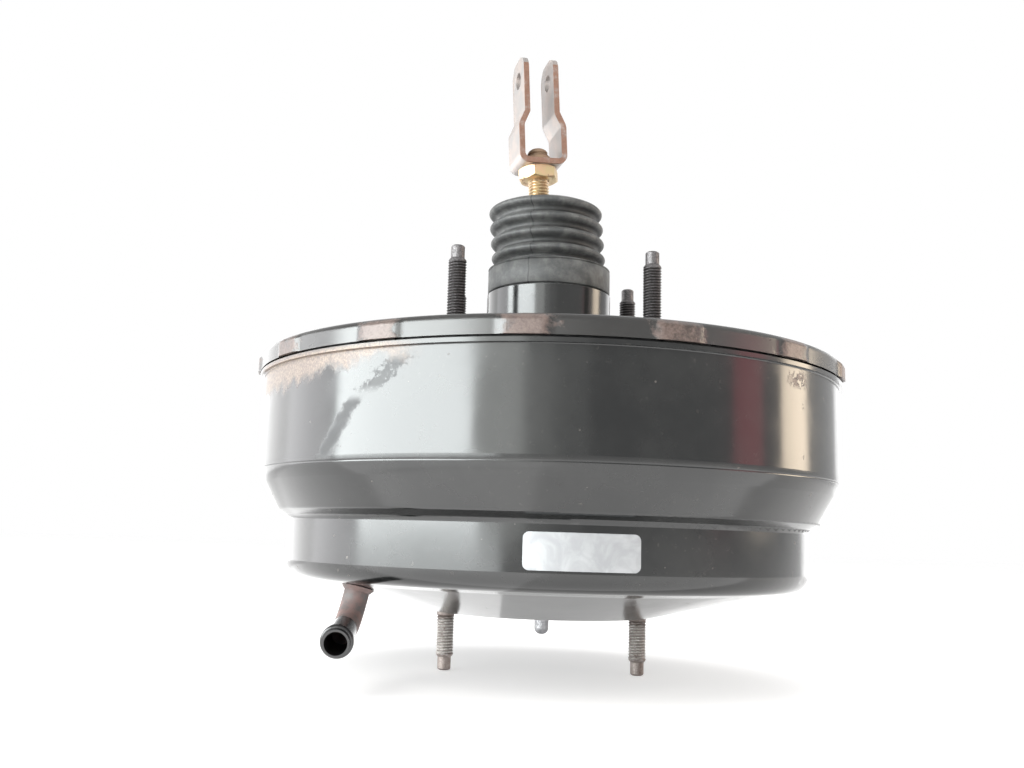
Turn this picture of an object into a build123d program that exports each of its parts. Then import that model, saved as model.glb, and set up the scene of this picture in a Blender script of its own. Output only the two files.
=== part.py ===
"""Tandem vacuum brake booster, in millimetres.

+Z runs along the booster's axis towards the pedal. The origin is on that axis, on the outer face
of the rear shell that bolts to the bulkhead. X and Y run along the sides of the rear stud pattern.
"""
import math
import os

from build123d import *

# ---- housing shells -------------------------------------------------------------------------
shell_wall = 1.6            # both pressed shells
rim_drop = 14.0             # from the mounting face down to the rim
skirt_height = 7.7          # skirt of the rear shell, outside the front shell's edge
skirt_inset = 0.2           # the skirt lies this much inside the front shell's lip
lip_gap = 0.9               # between the skirt's edge and that lip
lip_width = 1.6             # how far the lip stands out from the large wall
lip_corner = 0.5
large_wall_radius = 127.6   # front shell, rear chamber
large_wall_height = 52.0    # from the rim to the shoulder
shoulder_width = 8.9        # the cone between the two chambers
shoulder_height = 14.8
groove_width = 4.9          # step below the cone, round the front chamber
groove_height = 2.8
small_wall_height = 26.1
dome_corner_width = 15.4    # rolled corner into the shallow cone of the front
dome_height = 12.3
front_face_radius = 50.0    # flat that the master cylinder sits on
front_hole_radius = 17.5
pad_radius = 66.0           # raised pad of the rear shell, round the studs
pad_step = 6.0
rear_shelf_width = 13.0     # flat ring of the rear shell, inside its rim
collar_radius = 28.65       # tube of the rear shell that goes through the bulkhead
collar_height = 21.5

# ---- bayonet joint between the shells -------------------------------------------------------
pocket_count = 15
pocket_angle = 8.0          # degrees that one pocket of the skirt spans
pocket_first_angle = -97.8  # degrees from +X, counter-clockwise
pocket_rise = 1.2           # how far a pocket stands out from the skirt
pocket_drop = 1.2           # from the rim down to the pocket's upper edge
pocket_depth = 3.6          # height of its hollow
claw_angle = 5.0            # degrees that one claw of the front shell spans
claw_wall = 1.3
claw_hook = 1.4             # thickness of the claw's end in the pocket
pocket_corner = 0.45

# ---- studs ----------------------------------------------------------------------------------
stud_radius = 4.0
stud_neck_radius = 4.5      # pressed neck, through the plate and the shell
stud_tip_radius = 3.0
stud_tip_length = 6.0
stud_tip_chamfer = 0.8
stud_head_radius = 6.5
stud_head_height = 2.4
stud_clearance = 0.05
rear_stud_spacing_x = 85.0
rear_stud_spacing_y = 69.0
rear_stud_length = 35.5
front_stud_inset = 7.15     # stud axis, inside the edge of the front flat
front_stud_length = 26.5
plate_thickness = 2.0       # stiffening plates that carry the stud heads
plate_margin = 11.0         # from a stud's axis to the plate's straight edge
plate_corner = 12.0
rear_plate_inset = 4.0      # inside the pad's edge
rear_plate_bore = 31.5
front_plate_inset = 1.0     # inside the edge of the front flat
front_plate_width = 74.0
front_plate_corner = 20.0

# ---- vacuum tube ----------------------------------------------------------------------------
tube_radius = 5.0
tube_wall = 0.8
tube_bead_radius = 6.1
tube_bead_length = 3.0
tube_bead_corner = 0.95
tube_bead_offset = 4.2      # bead centre, back from the mouth
tube_root_inset = 5.1       # its foot, inside the dome's rolled corner
tube_root_angle = -145.7    # degrees from +X
tube_leg = 13.5
tube_reach = 40.6
tube_bend_radius = 12.0
tube_droop = 6.8            # degrees below level
tube_weld = 1.6             # width and height of the weld ring

# ---- sliding parts --------------------------------------------------------------------------
piston_stroke = 25.0        # power piston, towards the master cylinder
valve_travel = 1.5          # extra travel of the plunger inside the valve body
valve_gap = 0.3             # left between plunger and reaction disc at the end of that travel
seat_gap = 0.05             # between pieces that seat on a slope or a curve
slide_clearance = 0.05      # radial, on every part that slides in another
valve_neck_radius = 20.5
valve_neck_top_z = 32.0
valve_shoulder_radius = 34.0
valve_shoulder_height = 9.0
valve_stem_radius = 17.2
valve_stem_cone = 4.5       # height of the cone from the shoulder to the stem
valve_nose_length = 8.0     # from the front piston's step to the front end
valve_bore_radius = 16.0
poppet_seat_z = -27.0
head_bore_radius = 11.0
head_bore_end_z = -40.5
plunger_bore_radius = 8.0
reaction_cup_radius = 13.6
reaction_cup_depth = 9.8
reaction_disc_thickness = 4.8
hub_step = 1.6              # step on the stem that carries the front piston plate
ring_groove = 0.6           # depth of the snap ring's groove below that step
ring_thickness = 1.6

poppet_back = 15.5          # from the poppet's seat to the foot of its retainer
poppet_retainer_height = 8.0
poppet_face = 2.45          # from the seat to the stiffening ring
stiffener_radius = 9.8
stiffener_bore = 7.4
stiffener_thickness = 0.8
poppet_spring_radius = 9.2
poppet_spring_wire = 0.5
rod_spring_radius = 11.4
rod_spring_wire = 0.7
filter_bore = 11.2
return_spring_radius = 31.0
return_spring_hub_radius = 26.0
return_spring_wire = 1.8
return_spring_turns = 5.25

piston_plate_thickness = 1.2
membrane_thickness = 1.4
rear_piston_room = 14.5     # from the large wall's inside to the rear piston's rim
rear_piston_flat = 43.0     # width of its slope
rear_piston_fall = 7.5
rear_piston_rim_height = 10.0
front_piston_room = 16.2    # from the small wall's inside to the front piston's rim
front_piston_gap = 4.5      # below the centre plate
rear_fold_depth = 16.0      # rolling folds of the two diaphragms
front_fold_depth = 11.0
rear_fold_width = 7.4
front_fold_gap = 1.2        # between the front diaphragm's fold and the wall

centre_plate_thickness = 1.4
centre_plate_rise = 4.3     # its rim above the foot of the cone
centre_dish_rise = 16.5
centre_dish_radius = 46.0
centre_dish_slope = 14.0
centre_hub_radius = 22.0
centre_hub_height = 6.0
front_hub_gap = 6.0         # from the centre plate's dish to the front piston's step

# ---- seals ----------------------------------------------------------------------------------
bearing_low_z = 1.5
bearing_height = 8.5
bearing_lip = 3.5
retainer_height = 3.6
retainer_wall = 0.8
front_seal_flange = 5.8
front_seal_thickness = 3.2
front_seal_height = 7.0

# ---- plunger, rod and fork ------------------------------------------------------------------
ball_z = -34.0
ball_radius = 6.5
ball_clearance = 0.08
plunger_head_radius = 10.0
plunger_tip_radius = 5.0
key_thickness = 2.0         # stop key, across the stem
key_width = 9.0
key_z = -45.0
key_groove_radius = 4.2
rod_neck_radius = 3.6
rod_neck_start = 3.0        # heights along the rod, from the ball's centre
rod_neck_end = 14.0
rod_shank_start = 18.0
rod_radius = 4.9
rod_lean = 3.0              # degrees, the rod at rest leans this much towards -X
rod_seat_z = 12.0           # spring seat on the rod
rod_seat_radius = 12.4
rod_seat_thickness = 1.6
output_rod_radius = 6.5
output_rod_reach = 2.0      # its end, past the front face
output_screw_radius = 2.5
output_tip_radius = 3.2
output_tip_reach = 9.8
nut_across_flats = 17.0
nut_thickness = 6.0
nut_chamfer = 1.0
nut_z = 112.4               # lower face of the lock nut, measured along the rod from the ball
nut_turn = 16.0             # degrees
fork_strip = 2.5
fork_gap = 12.0             # between the two ears
fork_wide_gap = 18.0        # between the cheeks below the joggle
fork_width = 20.0
fork_web_to_hole = 44.0     # from the lower face of the web to the pin hole
fork_hole_to_tip = 10.0
fork_joggle_low = 18.5      # heights of the joggle above the lower face of the web
fork_joggle_high = 25.0
fork_ear_corner = 6.8
fork_turn = 12.7            # degrees, pin axis from +X
pin_hole_radius = 4.0
fork_collar_radius = 7.0
fork_collar_height = 3.2
fork_collar_chamfer = 1.2
rod_end_height = 7.6        # the rod's end above the web

# ---- boot -----------------------------------------------------------------------------------
boot_wall = 2.0
boot_band_radius = 28.4
boot_band_height = 10.8
boot_neck_height = 1.0      # from the band to the first fold
boot_ridge_radius = 26.6
boot_valley_radius = 22.8
boot_ridges = 4
boot_pitch = 7.3
boot_valley_span = (1.6, 2.8)   # heights within one fold
boot_ridge_span = (4.0, 6.6)
boot_gap = 0.9              # between the collar's rim and the boot's band
boot_foot_depth = 6.5
boot_foot_wall = 3.0
boot_crown_rise = 4.0
boot_lip_radius = 7.6
boot_lip_height = 4.0
boot_lip_clearance = 0.35
boot_corner = 0.5

# ---- label ----------------------------------------------------------------------------------
label_width = 40.9
label_height = 13.1
label_corner = 2.2
label_thickness = 0.2
label_angle = -87.5         # degrees from +X
label_drop = 10.5           # its middle, below the top of the small wall

# ---- worked out from the sizes above --------------------------------------------------------
flange_top_z = -rim_drop
lip_radius = large_wall_radius + lip_width
flange_radius = lip_radius - skirt_inset
skirt_bottom_z = flange_top_z - skirt_height
lip_top_z = skirt_bottom_z - lip_gap
lip_bottom_z = lip_top_z - shell_wall
rear_slope_radius = flange_radius - rear_shelf_width
shoulder_start_z = flange_top_z - large_wall_height
shoulder_end_z = shoulder_start_z - shoulder_height
shoulder_end_radius = large_wall_radius - shoulder_width
small_wall_start_z = shoulder_end_z - groove_height
small_wall_radius = shoulder_end_radius - groove_width
dome_corner_z = small_wall_start_z - small_wall_height
dome_corner_radius = small_wall_radius - dome_corner_width
front_face_z = dome_corner_z - dome_height
collar_bore = collar_radius - shell_wall
front_inner_z = front_face_z + shell_wall
front_plate_top_z = front_inner_z + plate_thickness
front_plate_radius = front_face_radius - front_plate_inset
front_stud_spacing = 2 * (front_face_radius - front_stud_inset)
rear_plate_z = -shell_wall - plate_thickness
rear_plate_radius = pad_radius - rear_plate_inset
pocket_top_z = flange_top_z - pocket_drop
pocket_hollow_top_z = pocket_top_z - 1.0
pocket_floor_z = pocket_hollow_top_z - pocket_depth + claw_hook
skirt_bore = flange_radius - shell_wall
dome_slope = dome_height / (dome_corner_radius - front_face_radius)
shoulder_slope = shoulder_width / shoulder_height
shoulder_wall = shell_wall * math.hypot(1, shoulder_slope)      # measured level across the cone
centre_plate_z = shoulder_end_z + centre_plate_rise
centre_plate_low_z = centre_plate_z - centre_plate_thickness
centre_plate_radius = (shoulder_end_radius + shoulder_slope * (centre_plate_low_z - shoulder_end_z)
                       - shoulder_wall - seat_gap)
centre_dish_z = centre_plate_z + centre_dish_rise
front_hub_z = centre_dish_z - front_hub_gap
hub_bottom_z = front_hub_z - membrane_thickness - piston_plate_thickness
valve_front_z = front_hub_z - valve_nose_length
valve_shoulder_z = flange_top_z
valve_stem_start_z = valve_shoulder_z - valve_shoulder_height - valve_stem_cone
rear_piston_radius = large_wall_radius - rear_piston_room - shell_wall
front_piston_radius = small_wall_radius - front_piston_room - shell_wall
front_piston_z = centre_plate_z - front_piston_gap
boot_foot_z = collar_height - boot_foot_depth
boot_band_z = collar_height + boot_gap
boot_band_top_z = boot_band_z + boot_band_height
boot_top_z = boot_band_top_z + boot_neck_height + boot_ridges * boot_pitch
plunger_tip_z = valve_front_z + reaction_cup_depth
output_rod_top_z = plunger_tip_z - reaction_disc_thickness
output_rod_end_z = front_face_z - output_rod_reach
output_tip_z = front_face_z - output_tip_reach
web_low = nut_z + nut_thickness
label_z = small_wall_start_z - label_drop


def revolved(*points, corner=0.0):
    """A closed outline in the (radius, height) plane, turned about the axis."""
    if corner:
        outline = FilletPolyline(*[(r, 0, z) for r, z in points], radius=corner, close=True)
    else:
        outline = Polyline(*[(r, 0, z) for r, z in points], close=True)
    return revolve(make_face(outline), axis=Axis.Z)


def sheet_section(points, corners, wall):
    """Section of a bent sheet: the wall lies on the right of its line, or on the left if negative.

    The far side is the same line moved across, with mitred corners and radii that keep the wall even.
    """
    steps = [Vector(b[0] - a[0], b[1] - a[1]).normalized() for a, b in zip(points, points[1:])]
    across = [Vector(step.Y, -step.X) for step in steps]
    shifts = [across[0]] + [(m + n) / (1 + m.dot(n)) for m, n in zip(across, across[1:])] + [across[-1]]
    far_points = [(r + wall * shift.X, z + wall * shift.Y) for (r, z), shift in zip(points, shifts)]
    turns = [a.X * b.Y - a.Y * b.X for a, b in zip(steps, steps[1:])]
    far_corners = [max(0, radius + math.copysign(wall, turn * wall)) for radius, turn in zip(corners, turns)]
    near = FilletPolyline(*[(r, 0, z) for r, z in points], radius=corners)
    far = FilletPolyline(*[(r, 0, z) for r, z in far_points], radius=far_corners)
    return make_face([near, far, Line(near @ 0, far @ 0), Line(near @ 1, far @ 1)])


def pressed(points, corners, wall):
    """Sheet of one thickness, turned about the axis; `wall` as in sheet_section."""
    return revolve(sheet_section(points, corners, wall), axis=Axis.Z)


def tube(outer, inner, bottom, top):
    """A plain ring about the axis."""
    return revolved((inner, bottom), (outer, bottom), (outer, top), (inner, top))


def sector(outer, inner, bottom, top, middle, span):
    """Part of a ring: `span` degrees about the direction `middle`."""
    half = math.radians(span / 2)
    reach = outer / math.cos(half) + 1
    wedge = Polyline((0, 0), (reach * math.cos(half), -reach * math.sin(half)),
                     (reach * math.cos(half), reach * math.sin(half)), close=True)
    wedge = extrude(Pos(0, 0, bottom) * make_face(wedge), amount=top - bottom)
    return Rot(0, 0, middle) * (wedge & tube(outer, inner, bottom, top))


def coil(wire, radius_low, radius_high, bottom, top, turns):
    """A compression spring that stands between two heights."""
    height = top - bottom - 2 * wire
    cone = math.degrees(math.atan2(radius_high - radius_low, height))
    path = Pos(0, 0, bottom + wire) * Helix(height / turns, height, radius_low, cone_angle=cone)
    start = Plane(path @ 0, z_dir=path % 0)
    return sweep(start * Circle(wire), path=path)


def stud(length, head_z, point_up):
    """Stud with a dog point, its threads left plain; `head_z` is the underside of its head."""
    neck = Pos(0, 0, head_z) * Cylinder(
        stud_neck_radius, -head_z, align=(Align.CENTER, Align.CENTER, Align.MIN))
    body = Cylinder(stud_radius, length - stud_tip_length, align=(Align.CENTER, Align.CENTER, Align.MIN))
    dog = Pos(0, 0, length - stud_tip_length) * Cylinder(
        stud_tip_radius, stud_tip_length, align=(Align.CENTER, Align.CENTER, Align.MIN))
    dog = chamfer(dog.edges().group_by(Axis.Z)[-1], stud_tip_chamfer)
    head = Pos(0, 0, head_z) * Cylinder(
        stud_head_radius, stud_head_height, align=(Align.CENTER, Align.CENTER, Align.MAX))
    whole = body + dog + neck + head
    return whole if point_up else Rot(180, 0, 0) * whole


rear_stud_places = [(x * rear_stud_spacing_x / 2, y * rear_stud_spacing_y / 2)
                    for x in (-1, 1) for y in (-1, 1)]
front_stud_places = [(x * front_stud_spacing / 2, 0) for x in (-1, 1)]


def stud_holes(places, bottom, top):
    """Clearance holes for a stud pattern."""
    peg = Cylinder(stud_neck_radius + stud_clearance, top - bottom,
                   align=(Align.CENTER, Align.CENTER, Align.MIN))
    return [Pos(x, y, bottom) * peg for x, y in places]


# ---- housing --------------------------------------------------------------------------------
def make_front_shell():
    profile = [(lip_radius, lip_bottom_z), (large_wall_radius, lip_bottom_z),
               (large_wall_radius, shoulder_start_z), (shoulder_end_radius, shoulder_end_z),
               (small_wall_radius, small_wall_start_z), (small_wall_radius, dome_corner_z + 2),
               (dome_corner_radius, dome_corner_z), (front_face_radius, front_face_z),
               (front_hole_radius, front_face_z)]
    shell = pressed(profile, [lip_corner, 14, 2.2, 2.2, 7, 30, 6], shell_wall)
    shell -= stud_holes(front_stud_places, front_face_z - 1, front_inner_z + 1)
    shell += [make_claw(k) for k in range(pocket_count)]
    return shell - tube_axis_cut()


def make_claw(number):
    """Claw of the front shell's edge: it stands inside the skirt and hooks out into a pocket."""
    angle = pocket_first_angle + number * 360 / pocket_count
    claw_radius = skirt_bore - stud_clearance
    claw_top_z = pocket_floor_z + claw_hook
    stem = sector(claw_radius, claw_radius - claw_wall, lip_bottom_z + lip_corner, claw_top_z, angle, claw_angle)
    hook = sector(skirt_bore + pocket_rise, claw_radius - claw_wall, pocket_floor_z, claw_top_z, angle,
                  claw_angle)
    return stem + hook


def make_rear_shell():
    profile = [(collar_radius, collar_height), (collar_radius, 0), (pad_radius, 0),
               (pad_radius + pad_step, -pad_step), (rear_slope_radius, flange_top_z),
               (flange_radius, flange_top_z), (flange_radius, skirt_bottom_z)]
    shell = pressed(profile, [2.5, 5, 5, 20, 2.5], shell_wall)
    shell -= stud_holes(rear_stud_places, -shell_wall - 1, 1)
    shell += [make_pocket(k) for k in range(pocket_count)]
    return shell - [make_pocket_hollow(k) for k in range(pocket_count)]


def make_pocket(number):
    """Outward bulge of the skirt over one claw."""
    angle = pocket_first_angle + number * 360 / pocket_count
    outer = flange_radius + pocket_rise
    bulge = sector(outer, skirt_bore + 0.4, skirt_bottom_z, pocket_top_z, angle, pocket_angle)
    edges = bulge.edges().filter_by(lambda e: (e @ 0.5).to_tuple()[0] ** 2 + (e @ 0.5).to_tuple()[1] ** 2
                                    > (outer - 0.3) ** 2)
    return fillet(edges, pocket_corner)


def make_pocket_hollow(number):
    """Room for the claw's hook, open towards the inside."""
    angle = pocket_first_angle + number * 360 / pocket_count
    return sector(skirt_bore + pocket_rise + stud_clearance, skirt_bore - 1, pocket_floor_z - seat_gap,
                  pocket_hollow_top_z, angle, claw_angle + 1)


def make_rear_stud_plate():
    plate = tube(rear_plate_radius, rear_plate_bore, rear_plate_z, -shell_wall)
    corners = Pos(0, 0, rear_plate_z) * extrude(
        RectangleRounded(rear_stud_spacing_x + 2 * plate_margin, rear_stud_spacing_y + 2 * plate_margin,
                         plate_corner), amount=plate_thickness)
    return (plate & corners) - stud_holes(rear_stud_places, rear_plate_z - 1, 0)


def make_front_stud_plate():
    plate = tube(front_plate_radius, front_hole_radius + 6, front_inner_z, front_plate_top_z)
    strip = Pos(0, 0, front_inner_z) * extrude(
        RectangleRounded(2 * front_plate_radius, front_plate_width, front_plate_corner), amount=plate_thickness)
    return (plate & strip) - stud_holes(front_stud_places, front_inner_z - 1, front_plate_top_z + 1)


def make_rear_studs():
    one = stud(rear_stud_length, rear_plate_z, True)
    return [Pos(x, y, 0) * one for x, y in rear_stud_places]


def make_front_studs():
    one = stud(front_stud_length, -(front_plate_top_z - front_face_z), False)
    return [Pos(x, y, front_face_z) * one for x, y in front_stud_places]


# ---- vacuum tube ----------------------------------------------------------------------------
def dome_z(radius):
    """Height of the front shell's outer face on its shallow cone."""
    return front_face_z + dome_slope * (radius - front_face_radius)


tube_side = math.radians(tube_root_angle)
tube_root_radius = dome_corner_radius - tube_root_inset
tube_foot = Vector(tube_root_radius * math.cos(tube_side), tube_root_radius * math.sin(tube_side),
                   dome_z(tube_root_radius))
tube_out = Vector(dome_slope * math.cos(tube_side), dome_slope * math.sin(tube_side), -1).normalized()
tube_corner = tube_foot + tube_out * tube_leg
tube_aim = Vector(0, -math.cos(math.radians(tube_droop)), -math.sin(math.radians(tube_droop)))
tube_mouth = tube_corner + tube_aim * tube_reach


def tube_axis_cut():
    """Hole in the dome for the tube's foot."""
    start = Plane(tube_foot + tube_out * 3, z_dir=-tube_out)
    return extrude(start * Circle(tube_radius + slide_clearance), amount=12)


def make_vacuum_tube():
    inside = tube_foot - tube_out * shell_wall
    path = FilletPolyline(inside, tube_corner, tube_mouth, radius=tube_bend_radius)
    start = Plane(inside, z_dir=tube_out)
    outer = sweep(start * Circle(tube_radius), path=path)
    inner = sweep(start * Circle(tube_radius - tube_wall), path=path)
    bead_plane = Plane(tube_mouth - tube_aim * (tube_bead_offset + tube_bead_length / 2), z_dir=tube_aim)
    bead = extrude(bead_plane * Circle(tube_bead_radius), amount=tube_bead_length)
    bead = fillet(bead.edges(), tube_bead_corner)
    weld_plane = Plane(tube_foot + tube_out * 0.2, z_dir=tube_out)
    weld = extrude(weld_plane * Circle(tube_radius + tube_weld), amount=tube_weld, taper=40)
    return outer + bead + weld - inner


# ---- seals ----------------------------------------------------------------------------------
def make_centre_plate():
    profile = [(centre_plate_radius, centre_plate_z), (centre_dish_radius + centre_dish_slope, centre_plate_z),
               (centre_dish_radius, centre_dish_z), (centre_hub_radius, centre_dish_z),
               (centre_hub_radius, centre_dish_z + centre_hub_height)]
    return pressed(profile, [8, 6, 2], -centre_plate_thickness)


def make_centre_seal():
    outer = centre_hub_radius - centre_plate_thickness
    bore = valve_stem_radius + slide_clearance
    bottom = centre_dish_z - centre_plate_thickness
    return revolved((bore, bottom - 1.5), (outer + 3, bottom - 1.5), (outer + 3, bottom),
                    (outer, bottom), (outer, centre_dish_z + centre_hub_height),
                    (bore, centre_dish_z + centre_hub_height))


def make_rear_bearing():
    bore = valve_neck_radius + slide_clearance
    top = bearing_low_z + bearing_height
    return revolved((bore, bearing_low_z), (collar_bore, bearing_low_z), (collar_bore, top),
                    (bore + bearing_lip, top), (bore + bearing_lip, top - 3), (bore, bearing_low_z + 4))


def make_bearing_retainer():
    low = bearing_low_z + bearing_height
    return pressed([(collar_bore, low), (collar_bore, low + retainer_height),
                    (valve_neck_radius + 1.2, low + retainer_height)], [1.2], -retainer_wall)


def make_front_seal():
    bore = output_rod_radius + slide_clearance
    edge = front_hole_radius + front_seal_flange
    return revolved((bore, front_inner_z + 0.8), (edge, front_inner_z),
                    (edge, front_inner_z + front_seal_thickness),
                    (bore + 4, front_inner_z + front_seal_height - 2),
                    (bore, front_inner_z + front_seal_height))


def make_front_seal_retainer():
    outer = front_hole_radius + 11
    inner = output_rod_radius + 8
    seal_top = front_inner_z + front_seal_thickness
    return revolved((outer, front_plate_top_z), (outer, front_plate_top_z + 1.2),
                    (front_hole_radius + 7.5, front_plate_top_z + 1.2),
                    (front_hole_radius + 6.8, seal_top + 2.4), (inner, seal_top + 3.4),
                    (inner, seal_top + 2.2), (front_hole_radius + front_seal_flange, seal_top + seat_gap),
                    (front_hole_radius + front_seal_flange + 0.15, front_plate_top_z))


# ---- pistons and diaphragms -----------------------------------------------------------------
rear_piston_hub = (valve_neck_radius + slide_clearance, valve_shoulder_z + piston_plate_thickness)
rear_piston_bend = (rear_piston_radius - rear_piston_flat, rear_piston_hub[1])
rear_piston_edge = (rear_piston_radius, rear_piston_hub[1] - rear_piston_fall)
rear_piston_corners = [20, 3.0]
front_piston_hub = (valve_stem_radius - hub_step + seat_gap, front_hub_z - membrane_thickness)
front_piston_dish = (centre_dish_radius - 4, front_piston_hub[1])
front_piston_foot = (centre_dish_radius + 10, front_piston_z)
front_piston_edge = (front_piston_radius, front_piston_z)
front_piston_corners = [6, 8]


def make_rear_piston_plate():
    rim = (rear_piston_radius, rear_piston_edge[1] - rear_piston_rim_height)
    return pressed([rear_piston_hub, rear_piston_bend, rear_piston_edge, rim],
                   rear_piston_corners, piston_plate_thickness)


def make_rear_diaphragm():
    fold_z = rear_piston_edge[1] - rear_fold_depth
    outer = rear_piston_radius + membrane_thickness + rear_fold_width
    shelf_z = flange_top_z - shell_wall - 4.2
    membrane = pressed([rear_piston_hub, rear_piston_bend, rear_piston_edge, (rear_piston_radius, fold_z),
                        (outer, fold_z), (outer, shelf_z), (flange_radius - 6.5, shelf_z)],
                       rear_piston_corners + [3.2, 3.2, 1.5], -membrane_thickness)
    bead_top = flange_top_z - shell_wall
    bead_radius = skirt_bore - claw_wall - 0.3
    bead = revolved((flange_radius - 7.8, lip_top_z), (bead_radius - 0.3, lip_top_z),
                    (bead_radius, bead_top - 2), (flange_radius - 4.5, bead_top - 0.1),
                    (flange_radius - 7.8, bead_top - 0.3))
    return membrane + bead


def make_front_piston_plate():
    return pressed([front_piston_hub, front_piston_dish, front_piston_foot, front_piston_edge],
                   front_piston_corners, piston_plate_thickness)


def make_front_diaphragm():
    fold_z = front_piston_z - front_fold_depth
    outer = small_wall_radius - shell_wall - front_fold_gap
    bead_z = shoulder_end_z + 1.5
    bead_radius = small_wall_radius + 1.7
    edge = (front_piston_radius + seat_gap, front_piston_z)
    membrane = pressed([front_piston_hub, front_piston_dish, front_piston_foot, edge, (edge[0], fold_z),
                        (outer, fold_z), (outer, bead_z - 0.7), (bead_radius, bead_z - 0.7)],
                       front_piston_corners + [0, 4, 4, 1.5], -membrane_thickness)
    bead = revolve(Plane.XZ * Pos(bead_radius, bead_z) * Circle(1.27), axis=Axis.Z)
    return membrane + bead


def make_piston_ring():
    """Snap ring that holds the front piston plate on the valve body."""
    inner = valve_stem_radius - hub_step - ring_groove + 0.1
    ring = tube(valve_stem_radius + 2.4, inner, hub_bottom_z - ring_thickness, hub_bottom_z)
    return ring - sector(40, 5, hub_bottom_z - 3, hub_bottom_z + 1, 90, 12)


# ---- valve body and what it holds -----------------------------------------------------------
def make_valve_body():
    step = valve_stem_radius - hub_step
    groove = step - ring_groove
    outline = [(valve_bore_radius, valve_neck_top_z), (valve_neck_radius, valve_neck_top_z),
               (valve_neck_radius, valve_shoulder_z), (valve_shoulder_radius, valve_shoulder_z),
               (valve_shoulder_radius, valve_shoulder_z - valve_shoulder_height),
               (valve_stem_radius, valve_stem_start_z), (valve_stem_radius, front_hub_z),
               (step, front_hub_z), (step, hub_bottom_z), (groove, hub_bottom_z),
               (groove, hub_bottom_z - ring_thickness), (step, hub_bottom_z - ring_thickness), (step, valve_front_z),
               (reaction_cup_radius, valve_front_z), (reaction_cup_radius, plunger_tip_z),
               (plunger_bore_radius, plunger_tip_z), (plunger_bore_radius, head_bore_end_z),
               (head_bore_radius, head_bore_end_z), (head_bore_radius, poppet_seat_z - 0.6),
               (head_bore_radius + 1.6, poppet_seat_z - 0.6), (valve_bore_radius, poppet_seat_z - 3)]
    body = revolved(*outline)
    body -= [Rot(0, 0, 45 + 90 * k) * port() for k in range(4)]
    return body - key_slot(key_thickness + 2 * valve_travel + 0.4, key_width + 0.3)


def port():
    """Slanting passage from the vacuum side to the chamber of the poppet valve."""
    passage = Box(3.2, 7, 16)
    return Pos(13.6, 0, poppet_seat_z - 7) * passage


def key_slot(height, width):
    """Window through one side of the stem for the stop key."""
    return Pos(valve_stem_radius / 2 + 2, 0, key_z) * Box(valve_stem_radius + 6, width, height)


def make_stop_key():
    """Forked key that limits the plunger's own travel in the valve body."""
    reach = plunger_bore_radius + 6.5
    blade = Pos(reach / 2 - 3.5, 0, key_z) * Box(reach + 7, key_width, key_thickness)
    fork = Pos(-3.5, 0, key_z) * Box(15.5, 2 * (key_groove_radius + 0.3), key_thickness + 1)
    keep = tube(valve_stem_radius - 0.3, 0.01, key_z - 3, key_z + 3)
    eye = Pos(0, 0, key_z) * Cylinder(key_groove_radius + 0.3, key_thickness + 1)
    span = 2 * valve_stem_radius
    bore = tube(span, plunger_bore_radius - 0.2, key_z - 3, key_z + 3)
    left = Pos(-span / 2, 0, key_z) * Box(span, 2 * span, 5 * key_thickness)
    return (blade & keep) - fork - eye - (bore & left)


def make_plunger():
    """Slides in the valve body; its cupped head holds the rod's ball and is the air valve's seat."""
    top = poppet_seat_z
    land = plunger_bore_radius - slide_clearance
    half_groove = key_thickness / 2 + valve_travel + 0.2
    tip = plunger_tip_z + valve_travel + valve_gap
    outline = [(0, tip), (plunger_tip_radius, tip),
               (plunger_tip_radius, key_z - half_groove - 4.5), (land, key_z - half_groove - 4.5),
               (land, key_z - half_groove), (key_groove_radius, key_z - half_groove),
               (key_groove_radius, key_z + half_groove), (land, key_z + half_groove),
               (land, head_bore_end_z + 0.3 + valve_travel),
               (plunger_head_radius - 0.6, head_bore_end_z + 2.3 + valve_travel),
               (plunger_head_radius - 0.6, top - 3), (plunger_head_radius, top - 2.4),
               (plunger_head_radius, top), (8.2, top), (8.2, top - 0.8), (0, top - 0.8)]
    body = revolved(*outline)
    body -= Pos(0, 0, ball_z) * Sphere(ball_radius + ball_clearance)
    mouth = Pos(0, 0, top) * Cone(6.1, 6.6, 12, align=(Align.CENTER, Align.CENTER, Align.CENTER))
    return body - mouth


def make_poppet():
    """Rubber valve: a disc against the two seats and a bellows held in the valve body's bore."""
    face = poppet_seat_z
    bore = valve_bore_radius - 0.05
    return revolved((7.2, face), (13.6, face), (13.6, face + 2.4), (11.4, face + 2.8), (11.4, face + 9),
                    (14.4, face + 11.5), (bore, face + 12.5), (bore, face + 15.5), (13.2, face + 15.5),
                    (9.95, face + 10), (9.95, face + 2.4), (7.2, face + 2.4))


def make_poppet_stiffener():
    """Steel ring bonded to the poppet's back, under its spring."""
    face = poppet_seat_z + poppet_face
    return tube(stiffener_radius, stiffener_bore, face, face + stiffener_thickness)


def make_poppet_retainer():
    low = poppet_seat_z + poppet_back
    bore = valve_bore_radius - slide_clearance
    return pressed([(bore, low + poppet_retainer_height), (bore, low), (8.5, low)], [1.2], 0.9)


def make_poppet_spring():
    start = poppet_seat_z + poppet_face + stiffener_thickness + seat_gap
    end = poppet_seat_z + poppet_back - seat_gap
    return coil(poppet_spring_wire, poppet_spring_radius, poppet_spring_radius, start, end, 4)


def make_rod_return_spring():
    start = poppet_seat_z + poppet_back + 0.95
    return coil(rod_spring_wire, rod_spring_radius, rod_spring_radius - 0.4, start, rod_seat_z - 1.15, 4)


def make_filter(bottom, top):
    """Ring of porous material that fills the valve body's bore round the rod."""
    return tube(valve_bore_radius - slide_clearance, filter_bore, bottom, top)


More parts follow.
